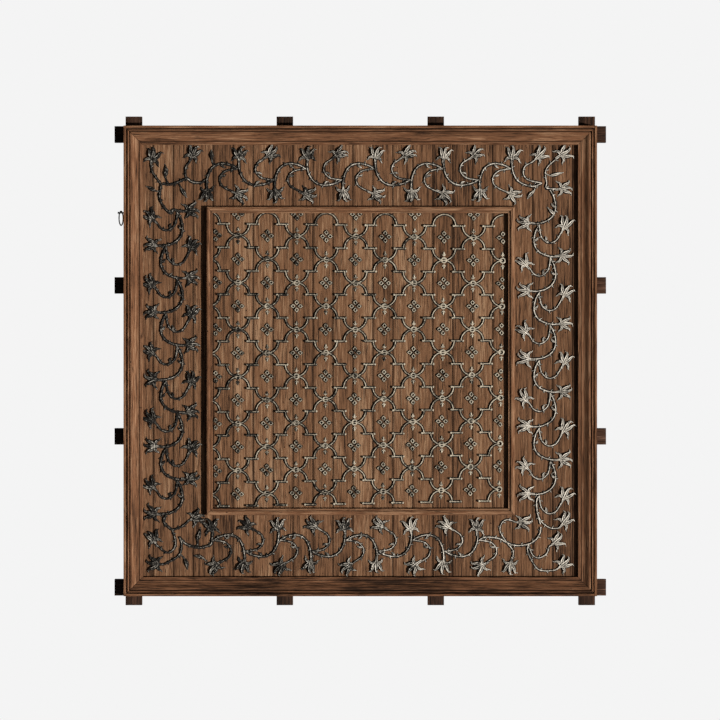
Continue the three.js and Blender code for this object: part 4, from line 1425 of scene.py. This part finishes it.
def stem_lines(places, width, rng):
    """A stem with knots and thorns along a smooth line."""
    line = smooth_line([(x, y, 0) for x, y in places], 3.2 * MM)
    stem = []
    extras = []
    next_knot = rng.randint(3, 5)
    side = 1
    for k, point in enumerate(line):
        size = width / 2
        if k == next_knot and k + 2 < len(line):
            size *= KNOT_SWELLING
            ahead = (line[k + 1] - line[k - 1]).normalized()
            across = Vector((-ahead.y, ahead.x, 0)) * side
            direction = (across + ahead * THORN_LEAN).normalized()
            extras.append(thorn(point + across * width * 0.3, direction, rng.uniform(6, 9) * MM,
                                width * THORN_WIDTH))
            side = -side
            next_knot += rng.randint(5, 7)
        stem.append((point.x, point.y, 0, size))
    return [stem, *extras]


def leaf_line(root, direction, side):
    """A small hooked leaf that grows from a stem's side."""
    ahead = Vector((*direction, 0)).normalized()
    across = Vector((-ahead.y, ahead.x, 0)) * side
    places = [Vector((*root, 0)) + ahead * a * MM + across * b * MM
              for a, b in ((0, 0), (4, 1.2), (8.5, 1.6), (12.5, 0.6), (16, -2.2))]
    return horn([(p.x, p.y) for p in places],
                [1.8 * MM, 3.2 * MM, 3.9 * MM, 2.4 * MM, 0.4 * MM], z=0.6 * MM, lift=1.2 * MM)


# Stems: height in half widths, and widths of the thin ones and of stalks in stem widths
STEM_RISE = 1.85
THIN_STEM = 0.85
STALK = 0.42


def make_vine(vine, seed):
    metal = bpy.context.scene.panel_metal
    rng = random.Random(seed)
    stems = []
    petals = []
    width = metal.stem_width

    def add_flower(centre, root):
        out = Vector(centre) - Vector(root)
        turn = math.atan2(out.y, out.x) - math.pi / 2 + math.radians(rng.uniform(-8, 8))
        scale = metal.flower_scale * rng.uniform(0.95, 1.03)
        seat = (Matrix.Translation((*centre, 0)) @ Matrix.Rotation(turn, 4, "Z")
                @ Matrix.Scale(scale, 4))
        petals.extend(turned(line, seat, scale) for line in flower_lines(rng))
        stems.append([(*root, 0, width * STALK), (*centre, 0, width * STALK)])

    def add_leaf(before, root, after, towards):
        run = (Vector(after) - Vector(before)).normalized()
        inward = (Vector(towards) - Vector(root)).normalized()
        side = 1 if run.x * inward.y - run.y * inward.x < 0 else -1
        petals.append(leaf_line(root, inward - run * 0.7, side))

    def places_from(junction, places, stretch=1):
        return [place_from(vine, junction, (along * stretch, across)) for along, across in places]

    junctions = junctions_of(vine)
    arc = [at_corner(vine["from"], place) for place in vine["before"]]
    for k, junction in enumerate(junctions):
        spur = places_from(junction, SPUR)
        stems.extend(stem_lines(arc + spur, width, rng))
        add_flower(place_from(vine, junction, SPUR_FLOWER), spur[-1])
        arc = places_from(junction, WAVE[:2])
        if k + 1 < len(junctions):
            stretch = (junctions[k + 1][0] - junction[0]) / junction[1]
            arc = places_from(junction, WAVE, stretch)
            add_leaf(arc[2], arc[3], arc[4], place_from(vine, junction, (15, 0)))
        if vine["curls"][0] <= k <= vine["curls"][1]:
            curl = places_from(junction, CURL)
            which = "inner_curl_flower" if junction[2] > 0 else "outer_curl_flower"
            flower = place_from(vine, junction, (vine[which], CURL_FLOWER_ACROSS))
            stems.extend(stem_lines(curl, width * THIN_STEM, rng))
            add_flower(flower, curl[-1])
            add_leaf(curl[2], curl[3], curl[4], place_from(vine, junction, (7, -6)))
    arc += [at_corner(vine["to"], place) for place in vine["after"]]
    stems.extend(stem_lines(arc, width, rng))
    for corner, extras in ((vine["from"], vine["start_extras"]), (vine["to"], vine["end_extras"])):
        for stem, flower in extras:
            places = [at_corner(corner, place) for place in stem]
            stems.extend(stem_lines(places, width * THIN_STEM, rng))
            add_flower(at_corner(corner, flower), places[-1])
    for owner, corner, places in BUDS:
        if owner == vine["name"]:
            sizes = [size * vine_unit for size in BUD_SIZES]
            petals.append(horn([at_corner(corner, place) for place in places], sizes,
                               z=0.3 * MM, lift=1.2 * MM))

    name = vine["name"]
    section = [(x, y * STEM_RISE) for x, y in crowned_section()]
    add_metalwork(f"{name}_stems", sweep(stems, section, STEM_STEEPNESS), vine_pewter(), [name])
    add_metalwork(f"{name}_flowers", sweep(petals, grooved_section(), PETAL_STEEPNESS),
                  vine_pewter())


class PANEL_OT_vines(bpy.types.Operator):
    """Add the flowering vines of the border"""
    bl_idname = "panel.vines"
    bl_label = "Vines"

    def execute(self, context):
        for k, vine in enumerate(VINES):
            make_vine(vine, 17 + k)
        return {"FINISHED"}


# Ring on the left edge

PIN_HEAD_RADIUS = 3.6 * MM
RING_WIRE = 1.7 * MM
RING_TURN = math.radians(14)

# The pin from its hidden end, in shares of its head's radius and of its length
PIN_PROFILE = [(0, 0), (0.55, 0), (0.55, 0.84), (0.85, 0.86), (1, 0.91), (0.75, 0.97), (0, 1)]


class PANEL_OT_ring(bpy.types.Operator):
    """Add the iron ring and the pin that it hangs on"""
    bl_idname = "panel.ring"
    bl_label = "Ring"

    def execute(self, context):
        low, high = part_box("ring")
        bm = hoop((high.z - low.z) / 2 - RING_WIRE, RING_WIRE, 12, 48)
        bmesh.ops.recalc_face_normals(bm, faces=bm.faces)
        hang = (Matrix.Translation((low + high) / 2) @ Matrix.Rotation(-RING_TURN, 4, "Z")
                @ Matrix.Rotation(math.pi / 2, 4, "Y"))
        bmesh.ops.transform(bm, matrix=hang, verts=bm.verts)
        add_piece("ring_iron", bm, black_iron(), ["ring"])

        low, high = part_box("ring_pin")
        centre = (low + high) / 2
        length = high.x - low.x
        bm = bmesh.new()
        verts = [bm.verts.new((r * PIN_HEAD_RADIUS, 0, z * length)) for r, z in PIN_PROFILE]
        edges = [bm.edges.new(pair) for pair in zip(verts, verts[1:])]
        spin_round(bm, verts + edges, 16)
        bmesh.ops.recalc_face_normals(bm, faces=bm.faces)
        lay = Matrix.Rotation(-math.pi / 2, 4, "Y")
        bmesh.ops.transform(bm, matrix=Matrix.Translation((high.x, centre.y, centre.z)) @ lay,
                            verts=bm.verts)
        add_piece("ring_pin_iron", bm, black_iron(), ["ring_pin"])
        return {"FINISHED"}


# Stage

SENSOR = 36
KEY_FROM = Vector((1.07, -1.0, -0.27))
KEY_SPREAD = math.radians(2.5)
KEY_COLOUR = (1.0, 0.97, 0.93)
LEFT_GLOW = (0.16, 0.155, 0.15, 1)
RIGHT_GLOW = (2.2, 2.15, 2.05, 1)
FLOOR_DROP = 1.25
FLOOR_RADIUS = 2.4
FLOOR_BEHIND = 0.9
FLOOR_COLOUR = (0.75, 0.75, 0.74, 1)
FLOOR_GLOW = 0.85


class PANEL_OT_stage(bpy.types.Operator):
    """Add the camera, the lights, the pale surroundings and the floor"""
    bl_idname = "panel.stage"
    bl_label = "Stage"

    def execute(self, context):
        stage = bpy.context.scene.panel_stage
        scene = bpy.context.scene
        scene.view_settings.view_transform = "Standard"
        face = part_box("frame_moulding_top")[0].y
        data = bpy.data.cameras.new("camera")
        data.sensor_width = SENSOR
        data.lens = SENSOR * stage.view_distance / stage.view_width
        camera = add_object("camera", data)
        camera.location = (stage.view_right, face - stage.view_distance,
                           panel_middle + stage.view_up)
        camera.rotation_euler = (math.pi / 2, 0, 0)
        scene.camera = camera

        sun = bpy.data.lights.new("key", "SUN")
        sun.energy = stage.key_strength
        sun.angle = KEY_SPREAD
        sun.color = KEY_COLOUR
        key = add_object("key", sun)
        key.rotation_euler = KEY_FROM.to_track_quat("Z", "Y").to_euler()

        world = bpy.data.worlds.new("surroundings")
        world.use_nodes = True
        tree = world.node_tree
        tree.nodes.clear()
        path = add_node(tree, "ShaderNodeLightPath")
        seen = add_node(tree, "ShaderNodeBackground")
        seen.inputs["Color"].default_value = (*stage.background, 1)
        around = add_node(tree, "ShaderNodeBackground")
        around.inputs["Strength"].default_value = stage.fill_strength
        place = add_node(tree, "ShaderNodeTexCoord")
        split = add_node(tree, "ShaderNodeSeparateXYZ")
        tree.links.new(place.outputs["Generated"], split.inputs[0])
        side = between(tree, split.outputs[0], -0.3, 0.8)
        tint = blend_colours(tree, side, LEFT_GLOW, RIGHT_GLOW)
        tree.links.new(tint, around.inputs["Color"])
        mix = add_node(tree, "ShaderNodeMixShader")
        tree.links.new(path.outputs["Is Camera Ray"], mix.inputs[0])
        tree.links.new(around.outputs[0], mix.inputs[1])
        tree.links.new(seen.outputs[0], mix.inputs[2])
        out = add_node(tree, "ShaderNodeOutputWorld")
        tree.links.new(mix.outputs[0], out.inputs[0])
        scene.world = world

        bm = bmesh.new()
        bmesh.ops.create_circle(bm, cap_ends=True, segments=96, radius=FLOOR_RADIUS)
        bmesh.ops.translate(bm, vec=(0, FLOOR_BEHIND - FLOOR_RADIUS, panel_middle - FLOOR_DROP),
                            verts=bm.verts)
        mesh = bpy.data.meshes.new("floor")
        bm.to_mesh(mesh)
        bm.free()
        material, tree, shader = start_material("pale floor")
        shader.inputs["Base Color"].default_value = FLOOR_COLOUR
        shader.inputs["Emission Color"].default_value = FLOOR_COLOUR
        shader.inputs["Emission Strength"].default_value = FLOOR_GLOW
        shader.inputs["Roughness"].default_value = 0.8
        mesh.materials.append(material)
        floor = add_object("floor", mesh)
        floor.visible_shadow = False
        floor.visible_diffuse = False
        return {"FINISHED"}


class PANEL_PT_sidebar(bpy.types.Panel):
    """Lists the pieces and the settings"""
    bl_label = "Wood Panel"
    bl_space_type = "VIEW_3D"
    bl_region_type = "UI"
    bl_category = "Wood Panel"

    def draw(self, context):
        for operator in OPERATORS:
            self.layout.operator(operator.bl_idname)
        for settings in ("panel_wood", "panel_metal", "panel_stage"):
            group = getattr(context.scene, settings)
            for name in group.__annotations__:
                self.layout.prop(group, name)


OPERATORS = (
    PANEL_OT_battens,
    PANEL_OT_boards,
    PANEL_OT_edge_boards,
    PANEL_OT_mouldings,
    PANEL_OT_strapwork,
    PANEL_OT_vines,
    PANEL_OT_ring,
    PANEL_OT_stage,
)
CLASSES = (PanelWood, PanelMetal, PanelStage, *OPERATORS, PANEL_PT_sidebar)


def register():
    for kind in CLASSES:
        bpy.utils.register_class(kind)
    bpy.types.Scene.panel_wood = bpy.props.PointerProperty(type=PanelWood)
    bpy.types.Scene.panel_metal = bpy.props.PointerProperty(type=PanelMetal)
    bpy.types.Scene.panel_stage = bpy.props.PointerProperty(type=PanelStage)


def unregister():
    del bpy.types.Scene.panel_stage
    del bpy.types.Scene.panel_metal
    del bpy.types.Scene.panel_wood
    for kind in reversed(CLASSES):
        bpy.utils.unregister_class(kind)


def main():
    register()
    for operator in OPERATORS:
        group, name = operator.bl_idname.split(".")
        getattr(getattr(bpy.ops, group), name)()


if __name__ == "__main__":
    main()
